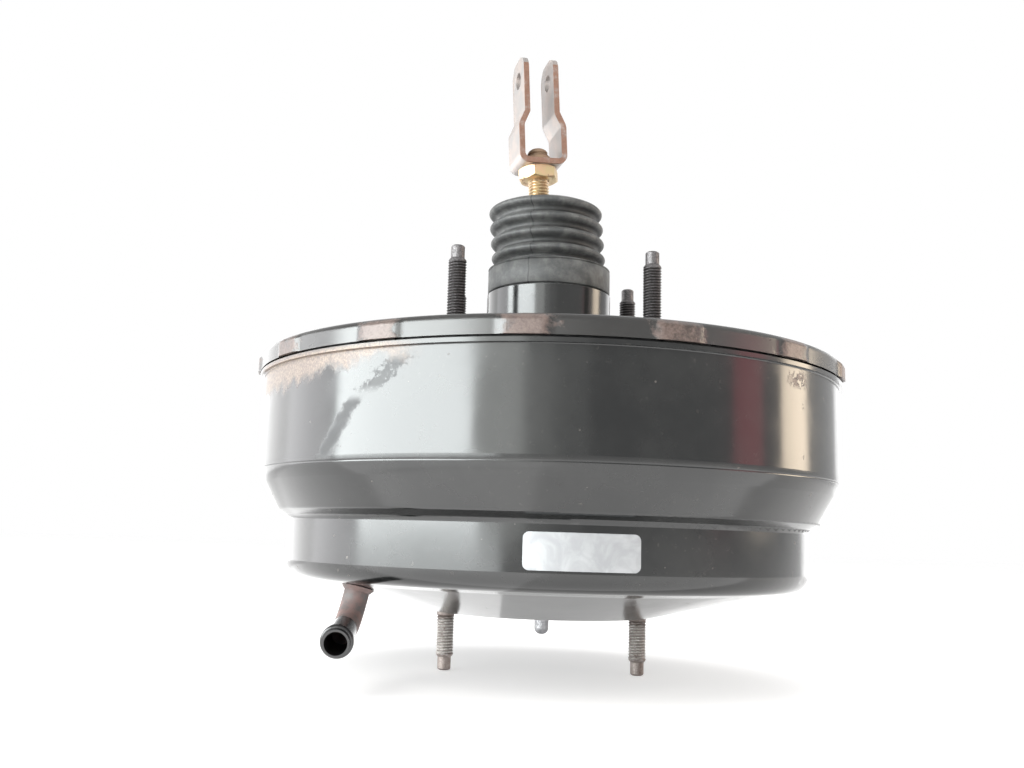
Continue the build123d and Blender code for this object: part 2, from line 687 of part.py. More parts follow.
# ---- output side ----------------------------------------------------------------------------
def make_reaction_disc():
    return Pos(0, 0, output_rod_top_z) * Cylinder(
        reaction_cup_radius - slide_clearance, reaction_disc_thickness,
        align=(Align.CENTER, Align.CENTER, Align.MIN))


def make_output_rod():
    top = output_rod_top_z
    head = reaction_cup_radius - slide_clearance
    body = revolved((0, top), (head, top), (head, top - 4), (output_rod_radius + 1.5, top - 5.2),
                    (output_rod_radius, top - 8), (output_rod_radius, output_rod_end_z + 0.8),
                    (output_rod_radius - 0.8, output_rod_end_z), (0, output_rod_end_z))
    screw_hole = Pos(0, 0, output_rod_end_z) * Cylinder(
        output_screw_radius + slide_clearance, 16, align=(Align.CENTER, Align.CENTER, Align.MIN))
    return body - screw_hole


def make_output_screw():
    """Adjusting screw with a domed nose that pushes the master cylinder's piston."""
    shank = Pos(0, 0, output_rod_end_z) * Cylinder(
        output_screw_radius, 14, align=(Align.CENTER, Align.CENTER, Align.MIN))
    nose_length = output_rod_end_z - output_tip_z
    nose = Pos(0, 0, output_tip_z) * Cylinder(
        output_tip_radius, nose_length, align=(Align.CENTER, Align.CENTER, Align.MIN))
    nose = fillet(nose.edges().group_by(Axis.Z)[0], output_tip_radius - 0.3)
    return shank + nose


def make_return_spring():
    return coil(return_spring_wire, return_spring_radius, return_spring_hub_radius, front_plate_top_z,
                hub_bottom_z, return_spring_turns)


# ---- input rod, nut and fork ----------------------------------------------------------------
def lean(part):
    """From upright on the ball's centre to the resting lean."""
    return Pos(0, 0, ball_z) * Rot(0, -rod_lean, 0) * part


def make_input_rod():
    top = web_low + fork_strip + rod_end_height
    shaft = revolved((0, rod_neck_start), (rod_neck_radius, rod_neck_start), (rod_neck_radius, rod_neck_end),
                     (rod_radius, rod_shank_start),
                     (rod_radius, top - 2.4), (rod_radius - 0.7, top - 1.0), (rod_radius - 2.4, top), (0, top))
    seat_low = rod_seat_z - ball_z - 1
    seat = tube(rod_seat_radius, rod_radius - 0.5, seat_low, seat_low + rod_seat_thickness)
    return lean(Sphere(ball_radius) + shaft + seat)


def make_jam_nut():
    prism = extrude(RegularPolygon(nut_across_flats / 2, 6, major_radius=False), amount=nut_thickness)
    flat = nut_across_flats / 2
    corner = flat / math.cos(math.pi / 6) + 0.2
    dome = revolved((0, 0), (flat - 0.2, 0), (corner, nut_chamfer), (corner, nut_thickness - nut_chamfer),
                    (flat - 0.2, nut_thickness), (0, nut_thickness))
    nut = (prism & dome) - Cylinder(rod_radius + slide_clearance, 3 * nut_thickness)
    return lean(Pos(0, 0, nut_z) * Rot(0, 0, nut_turn) * nut)


def make_fork():
    """Bent strip: a web on the nut, two cheeks, a joggle inwards and two drilled ears."""
    wide = fork_wide_gap / 2
    narrow = fork_gap / 2
    tip = fork_web_to_hole + fork_hole_to_tip
    line = [(-narrow, tip), (-narrow, fork_joggle_high), (-wide, fork_joggle_low), (-wide, fork_strip),
            (wide, fork_strip), (wide, fork_joggle_low), (narrow, fork_joggle_high), (narrow, tip)]
    strip = extrude(sheet_section(line, [3.0, 3.0, 2.0, 2.0, 3.0, 3.0], fork_strip),
                    amount=fork_width / 2, both=True)
    outline = Pos(0, 0, tip / 2) * Rot(0, 90, 0) * extrude(
        RectangleRounded(tip + 20, fork_width, fork_ear_corner), amount=40, both=True)
    strip &= Pos(0, 0, -10) * outline
    strip -= Pos(0, 0, fork_web_to_hole) * Rot(0, 90, 0) * Cylinder(pin_hole_radius, 60)
    strip -= Cylinder(rod_radius + slide_clearance, 4 * fork_strip)
    return lean(Pos(0, 0, web_low) * Rot(0, 0, fork_turn) * strip)


def make_fork_collar():
    """Threaded collar welded to the web, round the rod's end."""
    collar = tube(fork_collar_radius, rod_radius + slide_clearance, fork_strip, fork_strip + fork_collar_height)
    collar = chamfer(collar.edges().group_by(Axis.Z)[-1].sort_by(SortBy.RADIUS)[-1], fork_collar_chamfer)
    return lean(Pos(0, 0, web_low) * collar)


# ---- boot -----------------------------------------------------------------------------------
def make_boot():
    """Bellows: foot inside the collar, band, ridges and a crown whose lip hugs the leaning rod."""
    band_top = boot_band_top_z
    crown_z = boot_top_z + boot_crown_rise
    foot = collar_bore - 0.1
    outer = [(foot, boot_foot_z), (foot, boot_band_z), (boot_band_radius, boot_band_z),
             (boot_band_radius, band_top)]
    inner = [(foot - boot_foot_wall, boot_foot_z), (foot - boot_foot_wall, band_top)]
    for k in range(boot_ridges):
        low = band_top + boot_neck_height + k * boot_pitch
        valley_low, valley_high = low + boot_valley_span[0], low + boot_valley_span[1]
        ridge_low, ridge_high = low + boot_ridge_span[0], low + boot_ridge_span[1]
        outer += [(boot_valley_radius, valley_low), (boot_valley_radius, valley_high),
                  (boot_ridge_radius, ridge_low), (boot_ridge_radius, ridge_high)]
        inner += [(boot_valley_radius - boot_wall, valley_low - 0.6),
                  (boot_valley_radius - boot_wall, valley_high + 0.6),
                  (boot_ridge_radius - boot_wall, ridge_low + 0.8),
                  (boot_ridge_radius - boot_wall, ridge_high - 0.8)]
    outer += [(boot_lip_radius + 1, crown_z)]
    inner += [(boot_lip_radius + 1, crown_z - boot_wall)]
    skin = revolved(*outer, *reversed(inner), corner=boot_corner)
    cap_top = crown_z - ball_z + 0.8
    cap = revolved((0, cap_top - boot_wall), (boot_lip_radius + 8, cap_top - boot_wall - 0.6),
                   (boot_lip_radius + 8, cap_top - 0.6), (0, cap_top))
    lip = Pos(0, 0, cap_top - boot_wall) * Cylinder(
        boot_lip_radius, boot_lip_height + boot_wall, align=(Align.CENTER, Align.CENTER, Align.MIN))
    hole = Pos(0, 0, cap_top) * Cylinder(rod_radius + boot_lip_clearance, 40)
    return (skin + lean(cap) + lean(lip)) - lean(hole)


# ---- label ----------------------------------------------------------------------------------
def make_label():
    sheet = tube(small_wall_radius + label_thickness, small_wall_radius,
                 label_z - label_height, label_z + label_height)
    window = Rot(0, 0, label_angle) * Pos(small_wall_radius - 10, 0, label_z) * Rot(0, 90, 0) * extrude(
        RectangleRounded(label_height, label_width, label_corner), amount=20)
    return sheet & window


nodes = {
    "front_shell": make_front_shell,
    "rear_shell": make_rear_shell,
    "rear_stud_plate": make_rear_stud_plate,
    "rear_studs": make_rear_studs,
    "front_stud_plate": make_front_stud_plate,
    "front_studs": make_front_studs,
    "vacuum_tube": make_vacuum_tube,
    "centre_plate": make_centre_plate,
    "centre_seal": make_centre_seal,
    "rear_bearing_seal": make_rear_bearing,
    "bearing_retainer": make_bearing_retainer,
    "front_seal": make_front_seal,
    "front_seal_retainer": make_front_seal_retainer,
    "rear_piston_plate": make_rear_piston_plate,
    "rear_diaphragm": make_rear_diaphragm,
    "front_piston_plate": make_front_piston_plate,
    "front_diaphragm": make_front_diaphragm,
    "piston_snap_ring": make_piston_ring,
    "valve_body": make_valve_body,
    "stop_key": make_stop_key,
    "control_plunger": make_plunger,
    "poppet_valve": make_poppet,
    "poppet_stiffener": make_poppet_stiffener,
    "poppet_retainer": make_poppet_retainer,
    "poppet_spring": make_poppet_spring,
    "rod_return_spring": make_rod_return_spring,
    "silencer_felt": lambda: make_filter(rod_seat_z + 3.0, rod_seat_z + 8.0),
    "air_filter": lambda: make_filter(rod_seat_z + 8.0, valve_neck_top_z - 0.5),
    "reaction_disc": make_reaction_disc,
    "output_rod": make_output_rod,
    "output_rod_screw": make_output_screw,
    "return_spring": make_return_spring,
    "input_rod": make_input_rod,
    "jam_nut": make_jam_nut,
    "fork": make_fork,
    "fork_collar": make_fork_collar,
    "boot": make_boot,
    "label": make_label,
}

os.makedirs("parts", exist_ok=True)
for node, make in nodes.items():
    made = make()
    shape = Compound(children=[solid for piece in made for solid in piece.solids()]) \
        if isinstance(made, list) else Compound(children=made.solids())
    export_step(shape, f"parts/{node}.step")
    print(f"{node}: {len(shape.solids())} solid(s), {shape.volume:.0f} mm3")
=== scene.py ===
# Tandem brake booster: finishes, rear shell, threads, boot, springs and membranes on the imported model
import math

import bmesh
import bpy
import numpy as np
from mathutils import Matrix, Vector


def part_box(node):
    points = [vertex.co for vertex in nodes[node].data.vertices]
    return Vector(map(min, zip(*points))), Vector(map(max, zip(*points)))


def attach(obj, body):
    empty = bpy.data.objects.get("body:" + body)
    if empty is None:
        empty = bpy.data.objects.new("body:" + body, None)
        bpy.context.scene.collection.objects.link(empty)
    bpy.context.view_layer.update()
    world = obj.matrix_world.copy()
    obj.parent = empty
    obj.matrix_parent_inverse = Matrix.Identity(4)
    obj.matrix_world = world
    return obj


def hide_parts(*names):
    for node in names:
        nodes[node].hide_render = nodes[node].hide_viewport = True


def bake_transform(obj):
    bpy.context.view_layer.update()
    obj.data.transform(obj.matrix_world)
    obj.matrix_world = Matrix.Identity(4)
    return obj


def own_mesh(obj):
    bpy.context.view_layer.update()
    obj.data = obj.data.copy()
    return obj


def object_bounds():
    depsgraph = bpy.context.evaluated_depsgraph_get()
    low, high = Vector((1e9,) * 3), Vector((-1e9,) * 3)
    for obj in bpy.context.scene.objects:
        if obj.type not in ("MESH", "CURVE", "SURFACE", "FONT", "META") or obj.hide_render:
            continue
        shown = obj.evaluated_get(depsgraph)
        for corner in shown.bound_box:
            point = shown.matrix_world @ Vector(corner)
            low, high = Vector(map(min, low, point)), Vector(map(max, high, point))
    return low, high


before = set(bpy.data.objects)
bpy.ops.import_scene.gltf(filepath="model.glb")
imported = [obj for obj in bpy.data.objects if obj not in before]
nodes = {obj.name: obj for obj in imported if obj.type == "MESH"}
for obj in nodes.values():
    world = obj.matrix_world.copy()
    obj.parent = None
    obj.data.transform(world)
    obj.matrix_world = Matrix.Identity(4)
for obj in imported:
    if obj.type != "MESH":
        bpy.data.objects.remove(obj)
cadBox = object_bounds()
mm = 0.001
print("stage: frame loaded,", len(nodes), "nodes")


class Socket:
    # a shader socket that makes Math nodes when it is added to, multiplied or divided
    def __init__(self, finish, link):
        self.finish = finish
        self.link = link

    def math(self, operation, *others):
        return self.finish.node("Math", {"operation": operation}, dict(enumerate((self,) + others)))

    def flipped(self, operation, other):
        return self.finish.node("Math", {"operation": operation}, {0: other, 1: self})

    def __add__(self, other):
        return self.math("ADD", other)

    def __radd__(self, other):
        return self.flipped("ADD", other)

    def __sub__(self, other):
        return self.math("SUBTRACT", other)

    def __rsub__(self, other):
        return self.flipped("SUBTRACT", other)

    def __mul__(self, other):
        return self.math("MULTIPLY", other)

    def __truediv__(self, other):
        return self.math("DIVIDE", other)

    def __mod__(self, other):
        return self.math("FLOORED_MODULO", other)

    def __abs__(self):
        return self.math("ABSOLUTE")

    def clamped(self):
        return self.math("MULTIPLY", 1.0).math("MAXIMUM", 0.0).math("MINIMUM", 1.0)

    def over(self, other):
        return self.math("MAXIMUM", other)

    def under(self, other):
        return self.math("MINIMUM", other)


class Finish:
    # one material: its nodes, the object's coordinates in millimetres, and the patterns that finishes share
    def __init__(self, name, **constants):
        self.material = bpy.data.materials.new(name)
        self.material.use_nodes = True
        self.tree = self.material.node_tree
        self.shader = self.tree.nodes["Principled BSDF"]
        for socket, value in constants.items():
            self.shader.inputs[socket.replace("_", " ")].default_value = value
        self.places = {}

    def node(self, kind, settings=None, sockets=None, output=0):
        # makes a node, fills or links its inputs, and gives one of its outputs back
        made = self.tree.nodes.new("ShaderNode" + kind)
        for key, value in (settings or {}).items():
            setattr(made, key, value)
        for key, value in (sockets or {}).items():
            if isinstance(value, Socket):
                self.tree.links.new(value.link, made.inputs[key])
            else:
                made.inputs[key].default_value = value
        return Socket(self, made.outputs[output])

    def coordinates(self, scale=(1000, 1000, 1000), turn=(0, 0, 0), shift=(0, 0, 0)):
        # the object's own coordinates: a scale of 1000 counts millimetres
        place = self.node("TexCoord", output="Object")
        return self.node("Mapping", {}, {"Vector": place, "Scale": scale, "Rotation": turn,
                                         "Location": shift})

    def axes(self):
        # x, y and z in millimetres, the distance from the axis and the direction in degrees
        if not self.places:
            place = self.coordinates()
            x, y, z = (self.node("SeparateXYZ", {}, {0: place}, output=k) for k in range(3))
            radius = (x * x + y * y).math("SQRT")
            angle = y.math("ARCTAN2", x) * (180 / math.pi)
            self.places = {"x": x, "y": y, "z": z, "radius": radius, "angle": angle}
        return self.places

    def noise(self, size, detail=3, roughness=0.55, distortion=0.0, stretch=(1, 1, 1), shift=(0, 0, 0)):
        # cloudy pattern whose blobs are about `size` millimetres across
        scale = tuple(1000 / size / s for s in stretch)
        place = self.coordinates(scale, shift=shift)
        return self.node("TexNoise", {}, {"Vector": place, "Scale": 1.0, "Detail": detail,
                                          "Roughness": roughness, "Distortion": distortion})

    def around(self, size, squash=1.0, detail=3, shift=0.0):
        # noise in (angle, height), so that streaks run straight down a turned wall
        at = self.axes()
        place = self.node("CombineXYZ", {}, {0: at["angle"] * (2.2 / size), 1: at["z"] / (size * squash),
                                             2: at["radius"] * 0 + shift})
        return self.node("TexNoise", {}, {"Vector": place, "Scale": 1.0, "Detail": detail,
                                          "Roughness": 0.6})

    def scratches(self, size, turn=(0, 0, 0.4)):
        # noise drawn out along one direction
        place = self.coordinates((1000 / size, 12 / size, 1000 / size), turn)
        return self.node("TexNoise", {}, {"Vector": place, "Scale": 1.0, "Detail": 4, "Roughness": 0.7})

    def roots(self):
        # 1 in the roots of a cut thread, 0 on its crests; it masks the painted shade in the roots
        return self.step(self.node("Attribute", {"attribute_name": "rootShade"}, output=2), 0.15, 0.85)

    def step(self, value, low, high):
        # rises smoothly from 0 to 1 while the value goes from low to high
        return self.node("MapRange", {"interpolation_type": "SMOOTHSTEP"},
                         {"Value": value, "From Min": low, "From Max": high})

    def band(self, value, low, high, soft):
        # 1 between low and high, with soft edges
        return self.step(value, low - soft, low + soft) * (1 - self.step(value, high - soft, high + soft))

    def spot(self, angle, span, low, high, soft=1.5):
        # patch of a turned wall: `span` degrees about `angle`, between two heights
        at = self.axes()
        off = abs((at["angle"] - angle + 180) % 360 - 180)
        away = self.step(off, span * 0.5 - soft, span * 0.5 + soft)
        return (1 - away) * self.band(at["z"], low, high, 1.5)

    def mix(self, factor, first, second):
        # colour that goes from the first to the second
        return self.node("MixRGB", {}, {"Fac": factor, "Color1": self.colour(first),
                                        "Color2": self.colour(second)})

    def colour(self, value):
        return value if isinstance(value, Socket) else (*value, 1)

    def bump(self, height, strength, distance=0.0004, normal=None):
        sockets = {"Height": height, "Strength": strength, "Distance": distance}
        if normal is not None:
            sockets["Normal"] = normal
        return self.node("Bump", {}, sockets)

    def feed(self, **links):
        # plugs values or sockets into the shader, and gives the finished material back
        for key, value in links.items():
            socket = self.shader.inputs[key.replace("_", " ")]
            if isinstance(value, Socket):
                self.tree.links.new(value.link, socket)
            else:
                socket.default_value = value
        return self.material


paintLook = {
    "black": (0.0065, 0.0075, 0.0078),
    "film": (0.034, 0.035, 0.034),
    "dust": (0.16, 0.145, 0.13),
    "rustBrown": (0.085, 0.056, 0.044),
    "rustPink": (0.20, 0.148, 0.130),
    "rustBeige": (0.46, 0.35, 0.25),
    "skirtGrey": (0.060, 0.058, 0.056),
    "smearBlack": (0.010, 0.010, 0.011),
    "roughness": 0.13,
    "rustRoughness": 0.46,
    # lower and upper height, and the radius inside which it stops
    "skirt": (-21.9, -14.6, 127.6),
    "pocketFirst": -97.8,
    "pocketStep": 24.0,
    "pocketHalf": 4.4,
    # direction, width in degrees, lower and upper height
    "underRim": (-140.0, 46.0, -31.0, -22.5),
    "rimSlant": 0.2,
    "flakes": (-47.5, 4.5, -31.5, -26.0),
    # direction at the foot, degrees it turns for each millimetre up, lower and upper height
    "smear": (-134.0, 0.34, -63.0, -42.0),
    "scuff": (-124.0, 0.55, -39.5, -28.0),
    "creaseZ": -64.2,
}


def paintFinish(name, look):
    # gloss black under a dusty film, worn to pinkish rust on the pockets and in a band below the rim
    f = Finish(name, IOR=1.5)
    at = f.axes()
    cloud = f.noise(42, 4, 0.6)
    fine = f.noise(2.4, 4, 0.7)
    grain = f.noise(0.9, 3, 0.7)
    patchy = f.around(6.5, 1.2, 4, 1.7)
    low, high, inside = look["skirt"]
    skirt = f.band(at["z"], low, high, 0.5) * f.step(at["radius"], inside - 0.4, inside + 0.4)
    half = look["pocketStep"] / 2
    off = abs((at["angle"] - look["pocketFirst"] + half) % look["pocketStep"] - half)
    off = off + (f.around(3.2, 1.0, 4, 8.2) - 0.5) * 7
    pocket = 1 - f.step(off, look["pocketHalf"] - 2.6, look["pocketHalf"] + 2.2)
    worn = f.step(pocket * 0.9 + (patchy - 0.5) * 1.9 + (grain - 0.5) * 0.3, 0.30, 1.0) * skirt
    angle, span, bottom, top = look["underRim"]
    wall = f.step(at["radius"], 125.5, 126.5)
    ragged = at["z"] + (f.around(8.0, 1.6, 4, 4.4) - 0.5) * 20 - (at["angle"] - angle) * look["rimSlant"]
    drips = f.spot(angle, span, -70, top, 6) * f.step(ragged, bottom - 3.5, bottom + 3.5) * wall
    angle, span, bottom, top = look["flakes"]
    flakes = f.spot(angle, span, bottom, top, 2) * f.step(f.noise(2.6, 3, 0.6), 0.50, 0.56) * wall
    rust = (worn + drips * 0.85 + flakes).clamped()
    angle, slope, bottom, top = look["smear"]
    away = abs(at["angle"] - (at["z"] - bottom) * slope - angle) + (f.noise(3.0, 4, 0.7) - 0.5) * 3.5
    smear = (1 - f.step(away, 0.8, 2.4)) * f.band(at["z"], bottom, top, 2.0) * wall
    angle, slope, bottom, top = look["scuff"]
    away = abs(at["angle"] - (at["z"] - bottom) * slope - angle) + (f.noise(2.0, 4, 0.8) - 0.5) * 14
    smear = smear.over((1 - f.step(away, 1.4, 2.6)) * f.band(at["z"], bottom, top, 2.5) * wall * 0.8)
    film = f.step(cloud, 0.36, 0.66)
    speck = f.step(f.noise(3.2, 2, 0.5, shift=(5, 1, 3)), 0.735, 0.76) * film
    dust = (f.step(fine, 0.60, 0.76) * 0.22 * film + speck * 0.8).clamped()
    crease = f.band(at["z"], look["creaseZ"] - 0.25, look["creaseZ"] + 0.25, 0.2)
    crease = crease * f.step(at["radius"], 126, 127)
    base = f.mix(film * 0.40 + 0.08, look["black"], look["film"])
    base = f.mix(skirt * 0.5, base, look["skirtGrey"])
    base = f.mix(dust, base, look["dust"])
    base = f.mix(smear * 0.9, base, look["smearBlack"])
    tone = f.mix(f.step(grain * 0.6 + patchy * 0.6, 0.42, 0.78), look["rustBrown"], look["rustPink"])
    tone = f.mix(drips, tone, f.mix(f.step(grain, 0.35, 0.7), look["rustPink"], look["rustBeige"]))
    base = f.mix(rust * 0.92, base, tone)
    rough = look["roughness"] + film * 0.07 + dust * 0.4 + skirt * 0.10 + smear * 0.40
    rough = (rough * (1 - rust) + rust * look["rustRoughness"]).under(0.95)
    height = f.noise(14, 2, 0.5) * 0.25 + grain * rust * 0.8 + rust * 0.5 + dust * 0.15 - crease * 2.5
    return f.feed(Base_Color=base, Roughness=rough, Normal=f.bump(height, 0.30, 0.0004))


# rust, painted shade for the folds' valleys, and the dirt in seams, that several finishes share
grimeAndShade = {
    "rustDeep": (0.05, 0.026, 0.018), "rustLight": (0.22, 0.11, 0.065), "tipRust": (0.13, 0.095, 0.08),
    # fold is the colour of the painted shade in the folds' valleys
    "fold": (0.004, 0.004, 0.004), "seam": (0.006, 0.006, 0.006), "rustRoughness": 0.8,
}


def steelFinish(name, bright, dark, roughness, rustAmount, size, metal=0.95, rootShade=None, tips=None):
    # turned or drawn steel: brushed tone, painted shade in the thread roots and brown specks
    f = Finish(name)
    wear = f.noise(size, 5, 0.65)
    fine = f.noise(size * 0.22, 4, 0.7)
    rust = f.step(wear + fine * 0.35, 0.92 - rustAmount, 1.02 - rustAmount * 0.8)
    tone = f.mix(f.step(fine, 0.35, 0.7), dark, bright)
    base = f.mix(rust, tone, f.mix(fine, grimeAndShade["rustDeep"], grimeAndShade["rustLight"]))
    # painted shade: the thread's roots are darkened towards the root colour
    if rootShade is not None:
        base = f.mix(f.roots() * 0.85, base, rootShade)
    if tips is not None:
        at = f.axes()["z"] + (wear - 0.5) * 8
        base = f.mix((1 - f.band(at, tips[0], tips[1], 0.8)) * 0.8, base, grimeAndShade["tipRust"])
    rough = (roughness + wear * 0.25) * (1 - rust) + rust * grimeAndShade["rustRoughness"]
    return f.feed(Base_Color=base, Roughness=rough, Metallic=(1 - rust) * metal,
                  Normal=f.bump(fine * 0.5 + rust * 0.8, 0.35, 0.0002))


def zincFinish(name, bright, warm, brown, roughness, rustAmount, size, rootShade=None, brownAbove=None):
    # passivated zinc: iridescent tint in patches, brown where the plating has gone
    f = Finish(name)
    patch = f.noise(size, 4, 0.6, 0.6)
    fine = f.noise(size * 0.12, 4, 0.7)
    blotch = f.noise(size * 0.6, 5, 0.7, shift=(7, 3, 5))
    rust = f.step(blotch + fine * 0.25, 0.80 - rustAmount, 0.90 - rustAmount)
    base = f.mix(f.step(patch, 0.38, 0.62), bright, warm)
    if brownAbove is not None:
        rust = rust.over(f.step(f.axes()["z"] + (fine - 0.5) * 3, brownAbove - 1, brownAbove + 1) * 0.75)
    base = f.mix(rust, base, f.mix(fine, brown, tuple(c * 0.35 for c in brown)))
    # painted shade: the thread's roots are darkened towards the root colour
    if rootShade is not None:
        base = f.mix(f.roots() * 0.7, base, rootShade)
    rough = (roughness + fine * 0.22) * (1 - rust) + rust * grimeAndShade["rustRoughness"]
    return f.feed(Base_Color=base, Roughness=rough, Metallic=0.85 - rust * 0.75,
                  Normal=f.bump(fine + rust * 0.6, 0.25, 0.0002))


forkLook = {
    "plate": (0.36, 0.34, 0.33), "warm": (0.42, 0.37, 0.345),
    "brown": (0.17, 0.085, 0.05), "edge": (0.34, 0.20, 0.15),
    "cutFace": 9.3, "shift": 1.85, "turn": math.radians(12.7), "roughness": 0.40,
}


def forkFinish(name, look):
    # zinc plate gone pinkish on the faces and brown on the cut edges of the strip
    f = Finish(name)
    at = f.axes()
    patch = f.noise(9, 4, 0.6, 0.4)
    fine = f.noise(0.9, 4, 0.7)
    across = at["y"] * math.cos(look["turn"]) - at["x"] * math.sin(look["turn"])
    cut = f.step(abs(across - look["shift"]), look["cutFace"], look["cutFace"] + 0.4)
    rust = f.step(cut * 0.38 + f.noise(4.5, 5, 0.7) * 0.9 + fine * 0.2, 0.66, 0.96)
    base = f.mix(f.step(patch, 0.36, 0.64), look["plate"], look["warm"])
    base = f.mix(rust, base, f.mix(fine, look["brown"], look["edge"]))
    rough = (look["roughness"] + fine * 0.2) * (1 - rust) + rust * 0.78
    return f.feed(Base_Color=base, Roughness=rough, Metallic=0.8 - rust * 0.6,
                  Normal=f.bump(fine * 0.7 + rust * 0.5, 0.3, 0.0002))


def rubberFinish(name, dark, pale, roughness, shadedGrooves=None, seam=None):
    # matt rubber with a chalky bloom, painted shade in the folds' valleys, and darker along the mould's
    # parting line
    f = Finish(name, IOR=1.45)
    at = f.axes()
    bloom = f.noise(6, 5, 0.65)
    fine = f.noise(0.6, 3, 0.6)
    base = f.mix(f.step(bloom, 0.35, 0.72), dark, pale)
    rough = roughness + bloom * 0.2
    height = fine * 0.5 + bloom * 0.4
    # painted shade: darker in the folds' valleys, inside the grooves' radii
    if shadedGrooves is not None:
        shade = 1 - f.step(at["radius"], shadedGrooves[0], shadedGrooves[1])
        base = f.mix(shade * 0.8, base, grimeAndShade["fold"])
    if seam is not None:
        line = 1 - f.step(abs(at["angle"] + (f.noise(5, 2) - 0.5) * 3 - seam), 0.35, 0.9)
        base = f.mix(line * 0.7, base, grimeAndShade["seam"])
    return f.feed(Base_Color=base, Roughness=rough, Normal=f.bump(height, 0.25, 0.0002))


foilLook = {"dark": (0.32, 0.33, 0.34), "pale": (0.41, 0.42, 0.43), "roughness": 0.34, "metal": 0.55}


def foilFinish(name, look):
    # blank silver sticker, a little creased and scuffed
    f = Finish(name)
    crease = f.noise(9, 4, 0.6, 1.0)
    fine = f.scratches(0.6)
    base = f.mix(f.step(crease, 0.35, 0.7), look["dark"], look["pale"])
    rough = look["roughness"] + fine * 0.2
    return f.feed(Base_Color=base, Roughness=rough, Metallic=look["metal"],
                  Normal=f.bump(crease + fine * 0.15, 0.25, 0.0004))


def fibreFinish(name, dark, pale, size, strength):
    # felt or open foam: clumped cells in two tones
    f = Finish(name, Roughness=0.95)
    place = f.coordinates((1000 / size,) * 3)
    cells = f.node("TexVoronoi", {"feature": "F1"}, {"Vector": place, "Scale": 1.0})
    base = f.mix(f.step(cells, 0.15, 0.75), dark, pale)
    return f.feed(Base_Color=base, Normal=f.bump(cells, strength, 0.0005))


def plasticFinish(name, tone, worn):
    # moulded phenolic: faint flow marks and a fine grain
    f = Finish(name, IOR=1.5)
    flow = f.noise(18, 3, 0.5, 1.2)
    grain = f.noise(0.5, 2, 0.5)
    base = f.mix(flow, tone, worn)
    return f.feed(Base_Color=base, Roughness=0.42 + flow * 0.15, Normal=f.bump(grain, 0.12, 0.0002))


tubeLook = {
    "black": (0.007, 0.007, 0.008), "film": (0.03, 0.028, 0.027),
    "bare": (0.33, 0.22, 0.20), "grey": (0.20, 0.18, 0.175),
    "lineZ": -124.0, "lineSlope": 0.5, "lineY": -72.0,
}


def tubeFinish(name, look):
    # paint below a curved border, bare and rusty steel near the dome
    f = Finish(name, IOR=1.5)
    at = f.axes()
    fine = f.noise(1.1, 5, 0.7)
    patch = f.noise(5, 4, 0.6)
    edge = at["y"] - look["lineY"] - (at["z"] - look["lineZ"]) * look["lineSlope"] + patch * 6 - 3
    bare = f.step(edge, -1.0, 1.0)
    rusty = f.mix(f.step(patch + fine * 0.3, 0.45, 0.8), look["grey"], look["bare"])
    base = f.mix(bare, f.mix(patch * 0.4, look["black"], look["film"]), rusty)
    rough = 0.16 + patch * 0.12 + bare * 0.45
    return f.feed(Base_Color=base, Roughness=rough, Normal=f.bump(fine * bare + patch * 0.3, 0.3, 0.0003))


